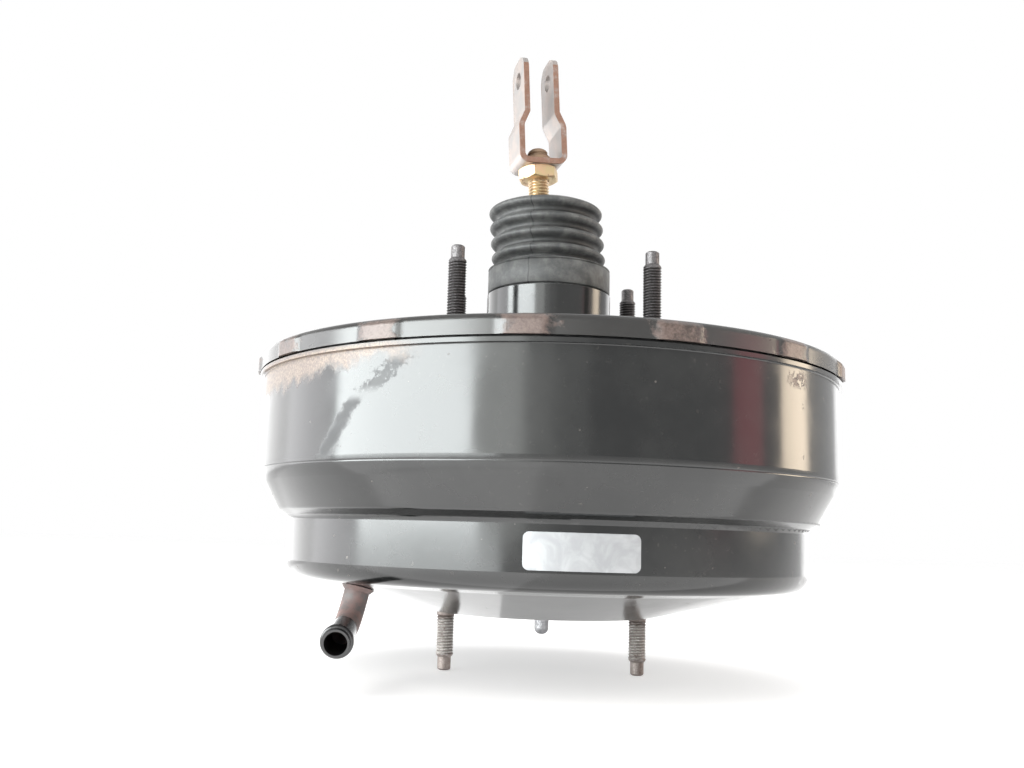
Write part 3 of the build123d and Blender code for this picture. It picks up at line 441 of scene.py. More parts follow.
finishes = {
    "black_paint": paintFinish("blackPaint", paintLook),
    # the root colours here are painted shade in the threads' roots
    "stud_steel": steelFinish(
        "studSteel", bright=(0.95, 0.94, 0.93), dark=(0.36, 0.33, 0.31), roughness=0.40, rustAmount=0.17,
        size=2.5, metal=0.55, rootShade=(0.30, 0.27, 0.25), tips=(-141.0, -126.0)),
    "dark_stud_steel": steelFinish(
        "darkStudSteel", bright=(0.22, 0.21, 0.215), dark=(0.06, 0.056, 0.056), roughness=0.40,
        rustAmount=0.10, size=2.5, metal=0.6, rootShade=(0.022, 0.018, 0.018)),
    "inner_steel": zincFinish(
        "innerSteel", bright=(0.55, 0.55, 0.52), warm=(0.60, 0.56, 0.42), brown=(0.20, 0.10, 0.06),
        roughness=0.32, rustAmount=-0.05, size=16),
    "spring_steel": steelFinish(
        "springSteel", bright=(0.42, 0.42, 0.43), dark=(0.16, 0.16, 0.17), roughness=0.30,
        rustAmount=0.02, size=6),
    "seal_rubber": rubberFinish(
        "sealRubber", dark=(0.012, 0.012, 0.013), pale=(0.030, 0.030, 0.031), roughness=0.45),
    # the boot's grooves are its fold valleys' radii, where shade is painted
    "boot_rubber": rubberFinish(
        "bootRubber", dark=(0.064, 0.068, 0.068), pale=(0.165, 0.168, 0.165), roughness=0.50,
        shadedGrooves=(22.8, 24.6), seam=-113.0),
    "valve_plastic": plasticFinish(
        "valvePlastic", tone=(0.030, 0.026, 0.024), worn=(0.055, 0.046, 0.040)),
    "plunger_steel": steelFinish(
        "plungerSteel", bright=(0.56, 0.56, 0.55), dark=(0.34, 0.33, 0.32), roughness=0.22,
        rustAmount=0.0, size=5),
    "felt": fibreFinish(
        "silencerFelt", dark=(0.35, 0.33, 0.29), pale=(0.66, 0.63, 0.57), size=0.7, strength=0.5),
    "filter_foam": fibreFinish(
        "filterFoam", dark=(0.03, 0.03, 0.03), pale=(0.16, 0.155, 0.15), size=1.1, strength=0.9),
    "rod_steel": zincFinish(
        "rodSteel", bright=(0.62, 0.53, 0.35), warm=(0.66, 0.50, 0.33), brown=(0.30, 0.17, 0.12),
        roughness=0.32, rustAmount=0.05, size=5, rootShade=(0.20, 0.13, 0.07), brownAbove=86.0),
    "screw_steel": steelFinish(
        "screwSteel", bright=(0.42, 0.42, 0.43), dark=(0.20, 0.20, 0.21), roughness=0.30,
        rustAmount=0.04, size=2),
    "yellow_zinc": zincFinish(
        "yellowZinc", bright=(0.56, 0.44, 0.25), warm=(0.62, 0.43, 0.27), brown=(0.30, 0.17, 0.12),
        roughness=0.32, rustAmount=0.08, size=6, brownAbove=86.0),
    "fork_zinc": forkFinish("forkZinc", forkLook),
    "label_foil": foilFinish("labelFoil", foilLook),
}
tubeMaterial = tubeFinish("tubePaint", tubeLook)


def dress(target, material):
    # every slot of a mesh gets the one finish
    slots = target.data.materials
    if len(slots) == 0:
        slots.append(material)
    for k in range(len(slots)):
        slots[k] = material


print("stage: finishes made")

# distance from the booster's axis, height from its mounting face, turns in radians, lens in pixels
view = {
    "distance": 465.52 * mm, "height": -90.24 * mm, "pitch": 0.1501, "yaw": -0.0654, "roll": 0.0313,
    "turn": 0.0756, "focalPixels": 1016.26, "centreColumn": 480.7, "imageWidth": 1024, "sensor": 36.0,
}


def placeCamera(view):
    # forward, right and up from yaw, pitch and roll, then all turned about the booster's axis
    yaw, pitch, roll = view["yaw"], view["pitch"], view["roll"]
    forward = np.array([math.sin(yaw) * math.cos(pitch), math.cos(yaw) * math.cos(pitch), math.sin(pitch)])
    level = np.array([math.cos(yaw), -math.sin(yaw), 0.0])
    above = np.cross(level, forward)
    right = math.cos(roll) * level + math.sin(roll) * above
    up = -math.sin(roll) * level + math.cos(roll) * above
    c, s = math.cos(view["turn"]), math.sin(view["turn"])
    turned = np.array([[c, s, 0], [-s, c, 0], [0, 0, 1]])
    place = turned @ np.array([0, -view["distance"], view["height"]])
    frameMatrix = np.eye(4)
    frameMatrix[:3, 0] = turned @ right
    frameMatrix[:3, 1] = turned @ up
    frameMatrix[:3, 2] = -(turned @ forward)
    frameMatrix[:3, 3] = place
    data = bpy.data.cameras.new("camera")
    camera = bpy.data.objects.new("camera", data)
    bpy.context.collection.objects.link(camera)
    camera.matrix_world = Matrix(frameMatrix.tolist())
    data.sensor_width = view["sensor"]
    data.lens = view["focalPixels"] * view["sensor"] / view["imageWidth"]
    data.shift_x = (view["imageWidth"] / 2 - view["centreColumn"]) / view["imageWidth"]
    data.clip_start = 0.01
    bpy.context.scene.camera = camera
    return camera


camera = placeCamera(view)

lampAim = (0, 0, -0.04)
lamps = (
    # name, place, size, power, colour
    ("keyLamp", (-0.75, -0.85, 0.55), (0.55, 0.75), 9.0, (1.0, 0.98, 0.96)),
    ("fillLamp", (1.05, -0.55, 0.35), (0.25, 0.9), 5.0, (1.0, 0.93, 0.85)),
    ("topLamp", (0.1, 0.25, 1.1), (0.9, 0.9), 8.0, (1.0, 1.0, 1.0)),
)
cards = (
    # name, from and to in degrees from the camera's side, lower and upper edge, radiance, colour
    ("windowCard", -79.0, -24.5, -0.085, 0.30, 18.0, (0.95, 1.0, 1.0)),
    ("sillCard", -79.0, -16.0, -0.146, -0.085, 8.0, (0.95, 1.0, 1.0)),
    ("curtainCard", -24.5, -7.0, -0.085, 0.30, 4.2, (0.97, 1.0, 0.97)),
    ("wallCard", -7.0, 2.5, -0.085, 0.30, 1.2, (0.97, 1.0, 0.97)),
    ("cornerCard", 2.5, 14.0, -0.085, 0.30, 0.5, (0.97, 1.0, 0.97)),
    ("sideCard", -108.0, -80.0, -0.146, 0.30, 4.2, (0.98, 0.98, 1.0)),
    ("backLeftCard", -160.0, -108.0, -0.146, 0.30, 2.2, (1.0, 1.0, 1.0)),
    ("redCard", 66.0, 79.0, -0.05, 0.25, 1.5, (1.0, 0.08, 0.13)),
    ("doorCard", 89.0, 105.0, -0.05, 0.30, 9.0, (1.0, 0.83, 0.63)),
    ("backRightCard", 134.0, 165.0, -0.146, 0.30, 1.3, (1.0, 1.0, 1.0)),
)
floorCards = (
    # name, place, size, radiance: sunlit floor that the slanting walls mirror
    ("sunFloorCard", (-0.44, -0.14), (0.52, 0.60), 0.9),
    ("sunFloorCardWide", (-0.40, -0.14), (0.60, 0.64), 0.8),
    ("sunFloorCardWidest", (-0.36, -0.14), (0.68, 0.68), 0.8),
    ("frontFloorCard", (0.0, -0.33), (1.3, 0.46), 1.2),
)


def placeLamp(name, place, size, power, colour, towards=None):
    # rectangle that shines at the booster unless it is told where to face
    data = bpy.data.lights.new(name, "AREA")
    data.shape = "RECTANGLE"
    data.size, data.size_y = size
    data.energy = power
    data.color = colour
    lamp = bpy.data.objects.new(name, data)
    bpy.context.collection.objects.link(lamp)
    lamp.location = place
    aim = np.array(lampAim) - np.array(place) if towards is None else towards
    lamp.rotation_mode = "QUATERNION"
    lamp.rotation_quaternion = Vector(aim).to_track_quat("-Z", "Y")
    lamp.visible_camera = False
    return lamp


def placeCard(name, start, end, low, high, radiance, colour, distance=0.8):
    # bright surface of the room that only mirrors see; it stands upright and faces the booster
    middle = math.radians((start + end) / 2) - math.pi / 2 - view["turn"]
    width = 2 * distance * math.tan(math.radians(end - start) / 2)
    side = np.array([math.cos(middle), math.sin(middle), 0])
    place = side * distance + np.array([0, 0, (low + high) / 2])
    power = radiance * math.pi * width * (high - low)
    card = placeLamp(name, place, (width, high - low), power, colour, -side)
    card.visible_diffuse = False
    return card


def placeFloorCard(name, place, size, radiance):
    # bright patch lying on the floor that only mirrors see
    place = (*place, cadBox[0][2] + 1 * mm)
    power = radiance * math.pi * size[0] * size[1]
    card = placeLamp(name, place, size, power, (1, 1, 1), np.array([0, 0, 1.0]))
    card.visible_diffuse = False


for lamp in lamps:
    placeLamp(*lamp).visible_glossy = False
for card in floorCards:
    placeFloorCard(*card)
for card in cards:
    placeCard(*card)

room = {
    "seen": 1.0, "light": 0.55, "mirror": 1.0,
    "floorGlow": 0.5, "floorMirror": 0.75, "floorTone": (0.80, 0.80, 0.80), "floorReach": 6.0,
}


def makeWorld(room):
    # white where it is seen or mirrored, softer as a light
    world = bpy.data.worlds.new("room")
    bpy.context.scene.world = world
    world.use_nodes = True
    tree = world.node_tree
    background = tree.nodes["Background"]
    path = tree.nodes.new("ShaderNodeLightPath")
    seen = tree.nodes.new("ShaderNodeMath")
    seen.operation = "MAXIMUM"
    tree.links.new(path.outputs["Is Camera Ray"], seen.inputs[0])
    tree.links.new(path.outputs["Is Transmission Ray"], seen.inputs[1])
    mirrored = tree.nodes.new("ShaderNodeMath")
    mirrored.operation = "MULTIPLY_ADD"
    tree.links.new(path.outputs["Is Glossy Ray"], mirrored.inputs[0])
    mirrored.inputs[1].default_value = room["mirror"] - room["light"]
    mirrored.inputs[2].default_value = room["light"]
    strength = tree.nodes.new("ShaderNodeMix")
    tree.links.new(seen.outputs[0], strength.inputs["Factor"])
    tree.links.new(mirrored.outputs[0], strength.inputs["A"])
    strength.inputs["B"].default_value = room["seen"]
    tree.links.new(strength.outputs[0], background.inputs["Strength"])
    background.inputs["Color"].default_value = (1, 1, 1, 1)


makeWorld(room)


def makeFloor(low, room):
    # pale sheet under the lowest point; it looks white and still takes the shadow
    reach = room["floorReach"]
    mesh = bpy.data.meshes.new("floor")
    corners = [(-reach, -reach, low), (reach, -reach, low), (reach, reach, low), (-reach, reach, low)]
    mesh.from_pydata(corners, [], [(0, 1, 2, 3)])
    floor = bpy.data.objects.new("floor", mesh)
    bpy.context.collection.objects.link(floor)
    f = Finish("floorPaint", Roughness=0.9)
    f.feed(Base_Color=(*room["floorTone"], 1), Emission_Color=(1, 1, 1, 1))
    rays = ("Is Camera Ray", "Is Glossy Ray", "Is Transmission Ray")
    seen, mirrored, through = [f.node("LightPath", output=ray) for ray in rays]
    glow = (seen * room["floorGlow"]).over(mirrored.over(through) * room["floorMirror"])
    f.tree.links.new(glow.link, f.shader.inputs["Emission Strength"])
    mesh.materials.append(f.material)


makeFloor(cadBox[0][2], room)
bpy.context.scene.view_settings.view_transform = "Standard"
print("stage: camera and light placed")


def makeMesh(name, points, faces, material):
    # smooth-shaded object from arrays of points in metres and of quads
    mesh = bpy.data.meshes.new(name)
    mesh.from_pydata(points.reshape(-1, 3).tolist(), [], faces.tolist())
    mesh.polygons.foreach_set("use_smooth", np.full(len(mesh.polygons), True))
    mesh.materials.append(material)
    mesh.update()
    made = bpy.data.objects.new(name, mesh)
    bpy.context.collection.objects.link(made)
    return made


def gridFaces(rows, columns, closedRows=False, closedColumns=True):
    # quads of a grid, counter-clockwise seen from outside when rows climb and columns turn left
    i = np.arange(rows if closedRows else rows - 1)
    j = np.arange(columns if closedColumns else columns - 1)
    i, j = np.meshgrid(i, j, indexing="ij")
    nextI, nextJ = (i + 1) % rows, (j + 1) % columns
    row, nextRow = i * columns, nextI * columns
    return np.stack([row + j, row + nextJ, nextRow + nextJ, nextRow + j], -1).reshape(-1, 4)


def turned(heights, radii, columns):
    # point = (radius cos t, radius sin t, height); `radii` is one number a row or a whole grid
    t = np.linspace(0, 2 * np.pi, columns, endpoint=False)
    radii = np.broadcast_to(np.asarray(radii).reshape(len(heights), -1), (len(heights), columns))
    height = np.broadcast_to(np.asarray(heights)[:, None], radii.shape)
    return np.stack([radii * np.cos(t), radii * np.sin(t), height], -1)


# how steep a thread's flank is and how much flat it leaves on the crest
flank = {"steepness": 1.25, "crest": 0.12}


def thread(heights, columns, pitch, depth, start, end):
    # depth below the crest: a triangle wave of (height - pitch t / 2 pi), faded at both ends
    t = np.linspace(0, 1, columns, endpoint=False)[None, :]
    phase = (heights[:, None] / pitch - t) % 1.0
    wave = np.clip(np.abs(2 * phase - 1) * flank["steepness"] - flank["crest"], 0, 1)
    fade = np.clip((heights - start) / pitch, 0, 1) * np.clip((end - heights) / pitch, 0, 1)
    return depth * wave * fade[:, None]


def capped(points):
    # closes a turned grid with one point at each end
    bottom = np.broadcast_to(points[0].mean(0), points[0].shape)
    top = np.broadcast_to(points[-1].mean(0), points[-1].shape)
    return np.concatenate([bottom[None], points, top[None]])


def solidOf(name, parts, material, depth=None, merge=1e-7):
    # several closed grids as one mesh, the ends' doubled points merged; `depth` marks the thread's roots,
    # where shade is painted
    points, faces, start = [], [], 0
    for grid in parts:
        points.append(grid.reshape(-1, 3))
        faces.append(gridFaces(*grid.shape[:2]) + start)
        start += grid.shape[0] * grid.shape[1]
    made = makeMesh(name, np.concatenate(points), np.concatenate(faces), material)
    if depth is not None:
        rootShade = made.data.attributes.new("rootShade", "FLOAT", "POINT")
        ends = np.zeros((1, depth.shape[1]))
        one = np.concatenate([ends, depth / depth.max(), ends]).ravel()
        rootShade.data.foreach_set("value", np.tile(one, len(parts)))
    bm = bmesh.new()
    bm.from_mesh(made.data)
    bmesh.ops.remove_doubles(bm, verts=bm.verts, dist=merge)
    bmesh.ops.dissolve_degenerate(bm, edges=bm.edges, dist=merge)
    bm.to_mesh(made.data)
    bm.free()
    made.data.polygons.foreach_set("use_smooth", np.full(len(made.data.polygons), True))
    return made


def sharpen(target, degrees=35):
    # edges steeper than this stay crisp while the rest is smooth
    bpy.context.view_layer.objects.active = target
    target.data.set_sharp_from_angle(angle=math.radians(degrees))


# here and below, sizes are in millimetres and a line is a row of (radius, height)
shellLook = {
    "line": ((28.65, 21.5), (28.65, 0), (66, 0), (72, -6), (116, -14), (129, -14), (129, -21.7)),
    "corners": (2.5, 5, 5, 20, 2.5), "wall": 1.6, "columns": 720,
    "rise": 1.2, "pocketFirst": -97.8, "pocketStep": 24.0, "pocketFlat": 2.7, "pocketEdge": 4.6,
    "pocketTop": (-16.6, -14.6), "skirtFrom": 126.5, "skirtRows": 11,
}


arcPoints = 9


def roundedLine(points, corners, shift):
    # the line moved by `shift` to its right, each corner an arc that keeps the sheet's thickness
    points = np.array(points, float)
    step = np.diff(points, axis=0)
    step /= np.linalg.norm(step, axis=1)[:, None]
    side = np.stack([step[:, 1], -step[:, 0]], 1)
    moved = [points[0] + side[0] * shift]
    for k, radius in enumerate(corners, 1):
        before, after = step[k - 1], step[k]
        turn = math.atan2(before[0] * after[1] - before[1] * after[0], before @ after)
        mitre = (side[k - 1] + side[k]) / (1 + side[k - 1] @ side[k])
        radius = math.copysign(radius + shift * math.copysign(1, turn), turn)
        centre = points[k] + shift * mitre - radius * mitre
        start = side[k - 1] * radius
        for a in np.linspace(0, turn, arcPoints):
            c, s = math.cos(a), math.sin(a)
            moved.append(centre + np.array([c * start[0] - s * start[1], s * start[0] + c * start[1]]))
    moved.append(points[-1] + side[-1] * shift)
    return np.array(moved)


def makeRearShell(look):
    # turned sheet whose skirt bulges over each claw: rise = smooth step of the angle and of the height
    outer = roundedLine(look["line"], look["corners"], 0)
    inner = roundedLine(look["line"], look["corners"], look["wall"])
    # the skirt gets rows of its own, so that it can bulge
    share = np.linspace(0, 1, look["skirtRows"] + 1)[1:, None]
    outer, inner = (np.concatenate([side[:-1], side[-2] + (side[-1] - side[-2]) * share])
                    for side in (outer, inner))
    line = np.concatenate([outer, inner[::-1]])[::-1]
    t = np.linspace(0, 360, look["columns"], endpoint=False)
    half = look["pocketStep"] / 2
    off = np.abs((t - look["pocketFirst"] + half) % look["pocketStep"] - half)
    across = np.clip((look["pocketEdge"] - off) / (look["pocketEdge"] - look["pocketFlat"]), 0, 1)
    low, high = look["pocketTop"]
    down = np.clip((high - line[:, 1]) / (high - low), 0, 1) * (line[:, 0] > look["skirtFrom"])
    bulge = (down ** 2 * (3 - 2 * down))[:, None] * (across ** 2 * (3 - 2 * across))[None, :]
    grid = turned(line[:, 1], line[:, :1] + look["rise"] * bulge, look["columns"]) * mm
    made = makeMesh("rearShellPressed", grid, gridFaces(len(line), look["columns"], closedRows=True),
                    finishes["black_paint"])
    sharpen(made, 40)
    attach(made, "housing")
    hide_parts("rear_shell")


makeRearShell(shellLook)
print("stage: rear shell made")

studLook = {
    "radius": 4.0, "tip": 3.0, "tipLength": 6.0, "pitch": 1.25, "depth": 0.62, "columns": 40,
    "perPitch": 9, "neck": 4.5, "head": 6.5, "headHeight": 2.4, "below": 3.6,
    "rearPlain": 3.0, "frontPlain": 2.0, "frontFace": -122.0,
}


def outlineOf(below, threadZ, radius, above):
    # heights and radii of a threaded bar: rows below the thread, the thread's own rows, rows above it
    heights = np.concatenate([[z for z, r in below], threadZ, [z for z, r in above]])
    radii = np.concatenate([[r for z, r in below], np.full(len(threadZ), radius), [r for z, r in above]])
    return heights, radii


def studGrid(look, length, plainFrom):
    # head, pressed neck, thread and dog point along +Z, from the mounting face at height 0
    body = length - look["tipLength"]
    foot = -look["below"] - look["headHeight"]
    rows = [(foot, look["head"] - 0.3), (foot + 0.3, look["head"]), (-look["below"], look["head"]),
            (-look["below"], look["neck"]), (-0.02, look["neck"]), (0.0, look["radius"])]
    threadZ = np.arange(plainFrom, body - 0.9, look["pitch"] / look["perPitch"])
    tip = [(body - 0.8, look["radius"] - 0.15), (body, look["tip"] + 0.25), (body + 0.25, look["tip"]),
           (length - 0.8, look["tip"]), (length - 0.35, look["tip"] - 0.3), (length, look["tip"] - 0.9)]
    heights, base = outlineOf(rows, threadZ, look["radius"], tip)
    cut = thread(heights, look["columns"], look["pitch"], look["depth"], plainFrom, body - 0.6)
    cut[base != look["radius"]] = 0
    return capped(turned(heights, base[:, None] - cut, look["columns"])) * mm, cut


def makeStuds(look):
    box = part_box("rear_studs")
    halfX = (box[1][0] - box[0][0]) / 2 - look["head"] * mm
    halfY = (box[1][1] - box[0][1]) / 2 - look["head"] * mm
    rear, cut = studGrid(look, box[1][2] / mm, look["rearPlain"])
    places = [(x * halfX, y * halfY, 0) for x in (-1, 1) for y in (-1, 1)]
    rearStuds = solidOf("rearStudsThreaded", [rear + np.array(p) for p in places],
                        finishes["dark_stud_steel"], cut)
    sharpen(rearStuds, 30)
    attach(rearStuds, "housing")
    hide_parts("rear_studs")
    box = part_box("front_studs")
    faceZ = look["frontFace"] * mm
    halfX = (box[1][0] - box[0][0]) / 2 - look["head"] * mm
    front, cut = studGrid(look, (faceZ - box[0][2]) / mm, look["frontPlain"])
    flipped = front * np.array([1, -1, -1])
    frontStuds = solidOf("frontStudsThreaded", [flipped + np.array([x * halfX, 0, faceZ]) for x in (-1, 1)],
                         finishes["stud_steel"], cut)
    sharpen(frontStuds, 30)
    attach(frontStuds, "housing")
    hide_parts("front_studs")


makeStuds(studLook)
print("stage: studs made")

# heights of the rod are counted from the middle of its ball, which lies at ballZ
rodLook = {
    "ball": 6.5, "ballZ": -34.0, "neck": 3.6, "neckTop": 14.0, "radius": 4.9, "shankFrom": 18.0,
    "lean": math.radians(3.0), "columns": 48, "seatFrom": 45.0, "seatTo": 46.6, "seatRadius": 12.4,
    "threadFrom": 84.0, "pitch": 1.5, "depth": 0.72, "perPitch": 10, "top": 128.5,
}


def leaned(points, look):
    # turned about Y at the ball, so that the top goes towards -X
    c, s = math.cos(-look["lean"]), math.sin(-look["lean"])
    x, y, z = points[..., 0], points[..., 1], points[..., 2]
    return np.stack([c * x + s * z, y, -s * x + c * z + look["ballZ"] * mm], -1)


def makeRod(look):
    # ball, waist, spring seat, shank and rolled thread with a domed end
    t = np.linspace(-math.pi / 2, math.acos(look["neck"] / look["ball"]), 14)
    rows = [(look["ball"] * math.sin(a), look["ball"] * math.cos(a)) for a in t[1:]]
    rows += [(look["neckTop"], look["neck"]), (look["shankFrom"], look["radius"]),
             (look["seatFrom"], look["radius"]), (look["seatFrom"], look["seatRadius"]),
             (look["seatTo"], look["seatRadius"]), (look["seatTo"], look["radius"])]
    threadZ = np.arange(look["threadFrom"], look["top"] - 2.4, look["pitch"] / look["perPitch"])
    dome = [(look["top"] - 2.0, look["radius"] - 0.2), (look["top"] - 1.2, look["radius"] - 0.75),
            (look["top"] - 0.5, look["radius"] - 1.7), (look["top"] - 0.12, look["radius"] - 2.9)]
    heights, base = outlineOf(rows, threadZ, look["radius"], dome)
    cut = thread(heights, look["columns"], look["pitch"], look["depth"], look["threadFrom"],
                 look["top"] - 1.5)
    cut[:len(rows)] = 0
    cut[-len(dome):] = 0
    grid = capped(turned(heights, base[:, None] - cut, look["columns"])) * mm
    rod = solidOf("inputRodThreaded", [leaned(grid, look)], finishes["rod_steel"], cut)
    sharpen(rod, 30)
    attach(rod, "rod")
    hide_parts("input_rod")


makeRod(rodLook)
print("stage: rod made")

bootLook = {
    "foot": 26.95, "footLow": 15.0, "footWall": 3.0, "bandLow": 22.4, "bandRadius": 28.4, "bandTop": 33.2,
    "neck": 1.0, "pitch": 7.3, "ridge": 26.6, "valley": 22.8, "wall": 2.0,
    "ridgeAt": 5.4, "top": 63.6, "flatness": 0.62, "bandFade": 2.2, "columns": 192,
    "seamAngle": -113.0, "seamHeight": 0.22, "seamWidth": 0.9,
    "crownTop": 67.0, "lipRadius": 7.0, "lipRound": 1.2, "lipTop": 68.2, "rodHole": 5.25, "lean": 2.4,
    "crownInside": 1.5, "bellowsBlend": (23.0, 64.5), "crownBlend": (63.6, 66.4),
}


def bootOutline(look):
    # outer line of the folds: between valley and ridge, radius = flattened cosine of the height in a fold
    heights = np.linspace(look["bandTop"] + 0.6, look["top"], 150)
    fold = (heights - look["bandTop"] - look["neck"] - look["ridgeAt"]) / look["pitch"]
    wave = np.cos(2 * np.pi * fold)
    wave = np.sign(wave) * np.abs(wave) ** look["flatness"]
    radii = (look["ridge"] + look["valley"]) / 2 + (look["ridge"] - look["valley"]) / 2 * wave
    start = np.clip((heights - look["bandTop"] - 0.6) / look["bandFade"], 0, 1)
    radii = look["bandRadius"] * (1 - start) + radii * start
    return heights, radii


def leanOf(height, look):
    # the folds follow the leaning rod: the shift towards -X grows with the height above the band
    share = (height / mm - look["bandTop"]) / (look["top"] - look["bandTop"])
    return look["lean"] * mm * np.clip(share, 0, 1)


def makeBellows(look):
    # foot inside the rear shell's neck, band above it, and folds with a mould seam down one side
    heights, radii = bootOutline(look)
    low, high, band = look["bandLow"], look["bandTop"], look["bandRadius"]
    outerZ = np.concatenate([[look["footLow"], low - 0.05, low, low + 0.5, high - 0.6, high], heights])
    outerR = np.concatenate([[look["foot"], look["foot"], band - 0.5, band, band, band - 0.5], radii])
    innerZ = outerZ[::-1].copy()
    innerR = np.minimum(outerR[::-1] - look["wall"], look["foot"] - look["footWall"])
    z = np.concatenate([outerZ, innerZ])
    r = np.concatenate([outerR, innerR])
    t = np.linspace(0, 2 * np.pi, look["columns"], endpoint=False)
    seamOff = (np.degrees(t) - look["seamAngle"] + 180) % 360 - 180
    seam = look["seamHeight"] * np.exp(-(seamOff / look["seamWidth"]) ** 2)
    outside = np.concatenate([np.ones(len(outerZ)), np.zeros(len(innerZ))])
    grid = turned(z, r[:, None] + outside[:, None] * seam[None, :], look["columns"]) * mm
    grid[..., 0] -= leanOf(grid[..., 2], look)
    made = makeMesh("bootBellows", grid, gridFaces(len(z), look["columns"], closedRows=True),
                    finishes["boot_rubber"])
    sharpen(made, 50)
    low, high = look["bellowsBlend"]
    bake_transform(made)
    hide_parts("boot")


def makeCrown(look):
    # cone from the last fold to the lip that hugs the leaning rod; it tilts more towards its top
    # height = inverse smooth step of the way inwards
    share = np.linspace(0, 1, 40)
    _, radii = bootOutline(look)
    edge = radii[-1]
    coneR = edge + (look["lipRadius"] + look["lipRound"] - edge) * share
    coneZ = look["top"] + (look["crownTop"] - look["top"]) * (0.5 - np.sin(np.arcsin(1 - 2 * share) / 3))
    top, lip, hole = look["lipTop"], look["lipRadius"], look["rodHole"]
    lipZ = np.array([look["crownTop"] + 0.3, top - 0.6, top, top, look["crownTop"]])
    lipR = np.array([lip, lip, lip - 0.6, hole, hole])
    z = np.concatenate([coneZ, lipZ, coneZ[::-1]])
    r = np.concatenate([coneR, lipR, coneR[::-1] - look["crownInside"]])
    grid = turned(z, r, look["columns"]) * mm
    share = np.clip((edge - r) / (edge - look["lipRadius"]), 0, 1)[:, None]
    tilted = leaned(grid - np.array([0, 0, rodLook["ballZ"] * mm]), rodLook)
    grid[..., 0] -= leanOf(grid[..., 2], look)
    grid = grid * (1 - share[..., None]) + tilted * share[..., None]
    made = makeMesh("bootCrown", grid, gridFaces(len(z), look["columns"], closedRows=True),
                    finishes["boot_rubber"])
    sharpen(made, 50)
    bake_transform(made)
    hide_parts("boot")


makeBellows(bootLook)
makeCrown(bootLook)
print("stage: boot made")

springLook = {
    "returnSpring": {"wire": 1.8, "low": 31.0, "high": 26.0, "bottom": -118.4, "top": -68.6, "turns": 5.25,
                     "columns": 14, "perTurn": 60},
    "rodReturnSpring": {"wire": 0.7, "low": 11.4, "high": 11.0, "bottom": -10.55, "top": 10.2, "turns": 4.0,
                        "columns": 12, "perTurn": 60},
    "stroke": 25.0, "overtravel": 1.5,
}


def coilGrid(look):
    # wire along a helix: radius falls and height rises evenly, section = circle square to the wire
    u = np.linspace(0, 1, int(look["turns"] * look["perTurn"]))[:, None]
    angle = 2 * np.pi * look["turns"] * u
    radius = look["low"] + (look["high"] - look["low"]) * u
    rise = look["top"] - look["bottom"] - 2 * look["wire"]
    height = look["bottom"] + look["wire"] + rise * u
    centre = np.concatenate([radius * np.cos(angle), radius * np.sin(angle), height], 1)
    out = np.concatenate([np.cos(angle), np.sin(angle), 0 * u], 1)
    along = np.gradient(centre, axis=0)
    along -= out * (along * out).sum(1, keepdims=True)
    along /= np.linalg.norm(along, axis=1, keepdims=True)
    across = np.cross(along, out)
    t = np.linspace(0, 2 * np.pi, look["columns"], endpoint=False)
    section = out[:, None] * np.cos(t)[None, :, None] + across[:, None] * np.sin(t)[None, :, None]
    return (centre[:, None] + look["wire"] * section) * mm


def makeSprings(look):
    # each spring is made and attached to its part; kept share = (free height - travel) / free height is
    # worked out but not applied
    coil = look["returnSpring"]
    made = solidOf("returnSpringCoil", [capped(coilGrid(coil))], finishes["spring_steel"])
    height = coil["top"] - coil["bottom"]
    kept = (height - look["stroke"]) / height
    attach(made, "housing")
    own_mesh(made)
    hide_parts("return_spring")
    coil = look["rodReturnSpring"]
    made = solidOf("rodReturnSpringCoil", [capped(coilGrid(coil))], finishes["spring_steel"])
    height = coil["top"] - coil["bottom"]
    kept = (height - look["overtravel"]) / height
    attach(made, "plunger")
    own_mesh(made)
    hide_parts("rod_return_spring")


makeSprings(springLook)
print("stage: springs made")

# an outline is (radius, height), a blend (start height, end height), a bead (radius, height, thickness / 2)
membraneLook = {
    "thickness": 1.4, "columns": 180, "gap": 1.5,
    "rearLine": ((20.55, -12.8), (68.5, -12.8), (111.5, -20.3), (111.5, -36.3), (116.0, -36.3)),
    "rearCorners": (20, 3, 3.2),
    "rearFold": ((115.9, -36.3), (120.3, -36.3), (120.3, -19.8), (122.5, -19.8)), "foldCorners": (3.2, 1.5),
    "rearBlend": (-20.0, -34.9),
    "rearBead": ((121.2, -22.6), (125.5, -22.6), (125.8, -17.6), (124.5, -15.7), (121.2, -15.9)),
    "frontLine": ((15.65, -67.4), (42, -67.4), (56, -81), (96.05, -81), (96.05, -82.6)),
    "frontCorners": (6, 8, 0.3),
    "sheetFrom": (111.6, -80.1), "sheetTo": (96.9, -82.4), "sheet": 0.3,
    "clamp": ((111.0, -80.0), (115.5, -80.0), (115.5, -78.6), (111.0, -78.6)),
    "bead": (115.5, -79.3, 1.27),
}


def loopGrid(line, look):
    # closed outline turned about the axis, with points no further apart than the gap
    line = np.array(line, float)
    fine = []
    for start, end in zip(line, np.roll(line, -1, axis=0)):
        count = max(1, int(np.ceil(np.linalg.norm(end - start) / look["gap"])))
        fine.append(start + (end - start) * np.linspace(0, 1, count, endpoint=False)[:, None])
    fine = np.concatenate(fine)
    return turned(fine[:, 1], fine[:, 0], look["columns"]) * mm


def sheetLoop(points, corners, thickness):
    # outline of a bent sheet: the line out, and back along the line moved by the thickness
    back = roundedLine(points, corners, -thickness)[::-1]
    return np.concatenate([roundedLine(points, corners, 0), back])


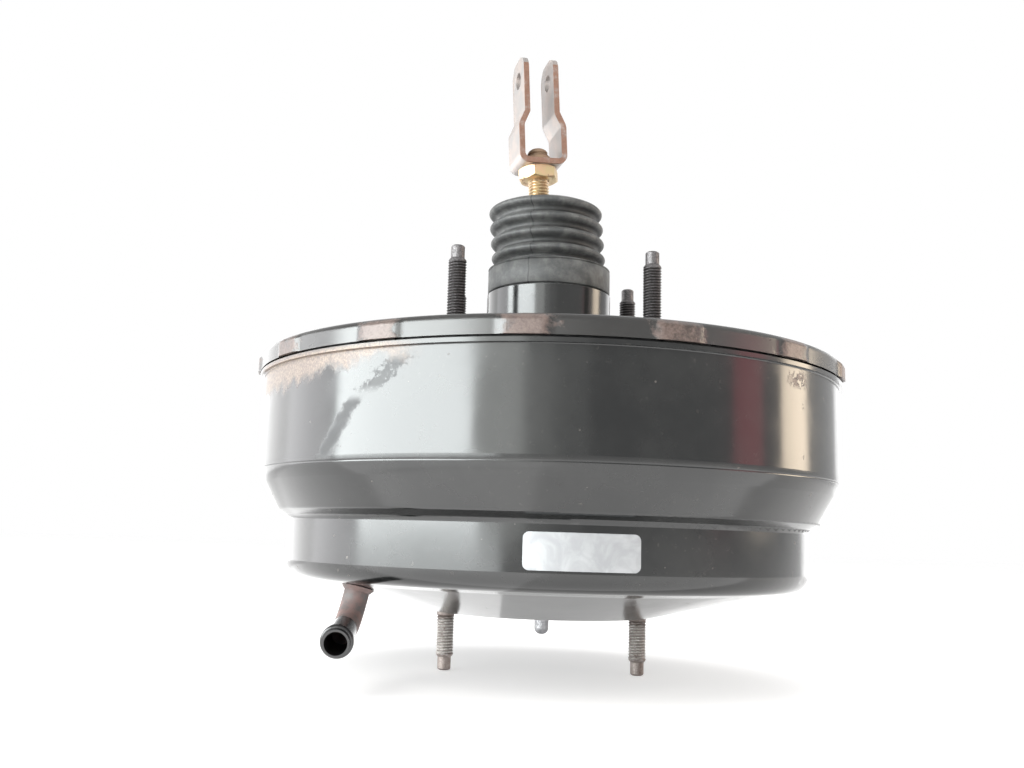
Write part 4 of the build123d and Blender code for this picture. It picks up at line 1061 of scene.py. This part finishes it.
def ringsOf(name, loops, look):
    # one rubber object from one or more outlines turned about the axis
    points, faces, start = [], [], 0
    for loop in loops:
        grid = loopGrid(loop, look)
        points.append(grid.reshape(-1, 3))
        faces.append(gridFaces(*grid.shape[:2], closedRows=True) + start)
        start += grid.shape[0] * grid.shape[1]
    made = makeMesh(name, np.concatenate(points), np.concatenate(faces), finishes["seal_rubber"])
    sharpen(made, 40)
    return made


def makeMembranes(look):
    # each diaphragm is a sheet on its piston, a rolling fold, and a bead clamped in the shell
    outline = sheetLoop(look["rearLine"], look["rearCorners"], look["thickness"])
    rear = ringsOf("rearMembrane", [outline], look)
    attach(rear, "power_piston")
    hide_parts("rear_diaphragm")
    outline = sheetLoop(look["rearFold"], look["foldCorners"], look["thickness"])
    fold = ringsOf("rearRollingFold", [outline], look)
    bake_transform(fold)
    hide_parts("rear_diaphragm")
    outline = sheetLoop(look["frontLine"], look["frontCorners"], look["thickness"])
    front = ringsOf("frontMembrane", [outline], look)
    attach(front, "power_piston")
    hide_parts("front_diaphragm")
    (outR, outZ), (inR, inZ) = look["sheetFrom"], look["sheetTo"]
    share = np.linspace(0, 1, 24)
    low = np.stack([inR + (outR - inR) * share, inZ + (outZ - inZ) * share], 1)
    outline = np.concatenate([low, (low + (0, look["sheet"]))[::-1]])
    fold = ringsOf("frontRollingFold", [outline], look)
    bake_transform(fold)
    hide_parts("front_diaphragm")
    ring = np.linspace(0, 2 * np.pi, 20, endpoint=False)
    radius, height, size = look["bead"]
    section = np.stack([radius + size * np.cos(ring), height + size * np.sin(ring)], 1)
    bead = ringsOf("rearBead", [look["rearBead"]], look)
    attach(bead, "housing")
    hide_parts("rear_diaphragm")
    bead = ringsOf("frontBead", [look["clamp"], section], look)
    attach(bead, "housing")
    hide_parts("front_diaphragm")


makeMembranes(membraneLook)
print("stage: membranes made")

# the finish that each CAD piece takes
finishOf = {
    "front_shell": "black_paint", "rear_shell": "black_paint", "rear_stud_plate": "inner_steel",
    "front_stud_plate": "inner_steel", "centre_plate": "inner_steel", "centre_seal": "seal_rubber",
    "rear_bearing_seal": "seal_rubber", "bearing_retainer": "inner_steel", "front_seal": "seal_rubber",
    "front_seal_retainer": "inner_steel", "rear_piston_plate": "inner_steel",
    "rear_diaphragm": "seal_rubber", "front_piston_plate": "inner_steel",
    "front_diaphragm": "seal_rubber", "piston_snap_ring": "spring_steel",
    "valve_body": "valve_plastic", "stop_key": "plunger_steel", "control_plunger": "plunger_steel",
    "poppet_valve": "seal_rubber", "poppet_stiffener": "plunger_steel", "poppet_retainer": "plunger_steel",
    "poppet_spring": "spring_steel", "rod_return_spring": "spring_steel", "silencer_felt": "felt",
    "air_filter": "filter_foam", "reaction_disc": "seal_rubber", "output_rod": "plunger_steel",
    "output_rod_screw": "screw_steel", "return_spring": "spring_steel", "jam_nut": "yellow_zinc",
    "fork": "fork_zinc", "fork_collar": "yellow_zinc", "label": "label_foil",
}
for node, slot in finishOf.items():
    dress(nodes[node], finishes[slot])
dress(nodes["vacuum_tube"], tubeMaterial)
print("stage: finishes assigned")
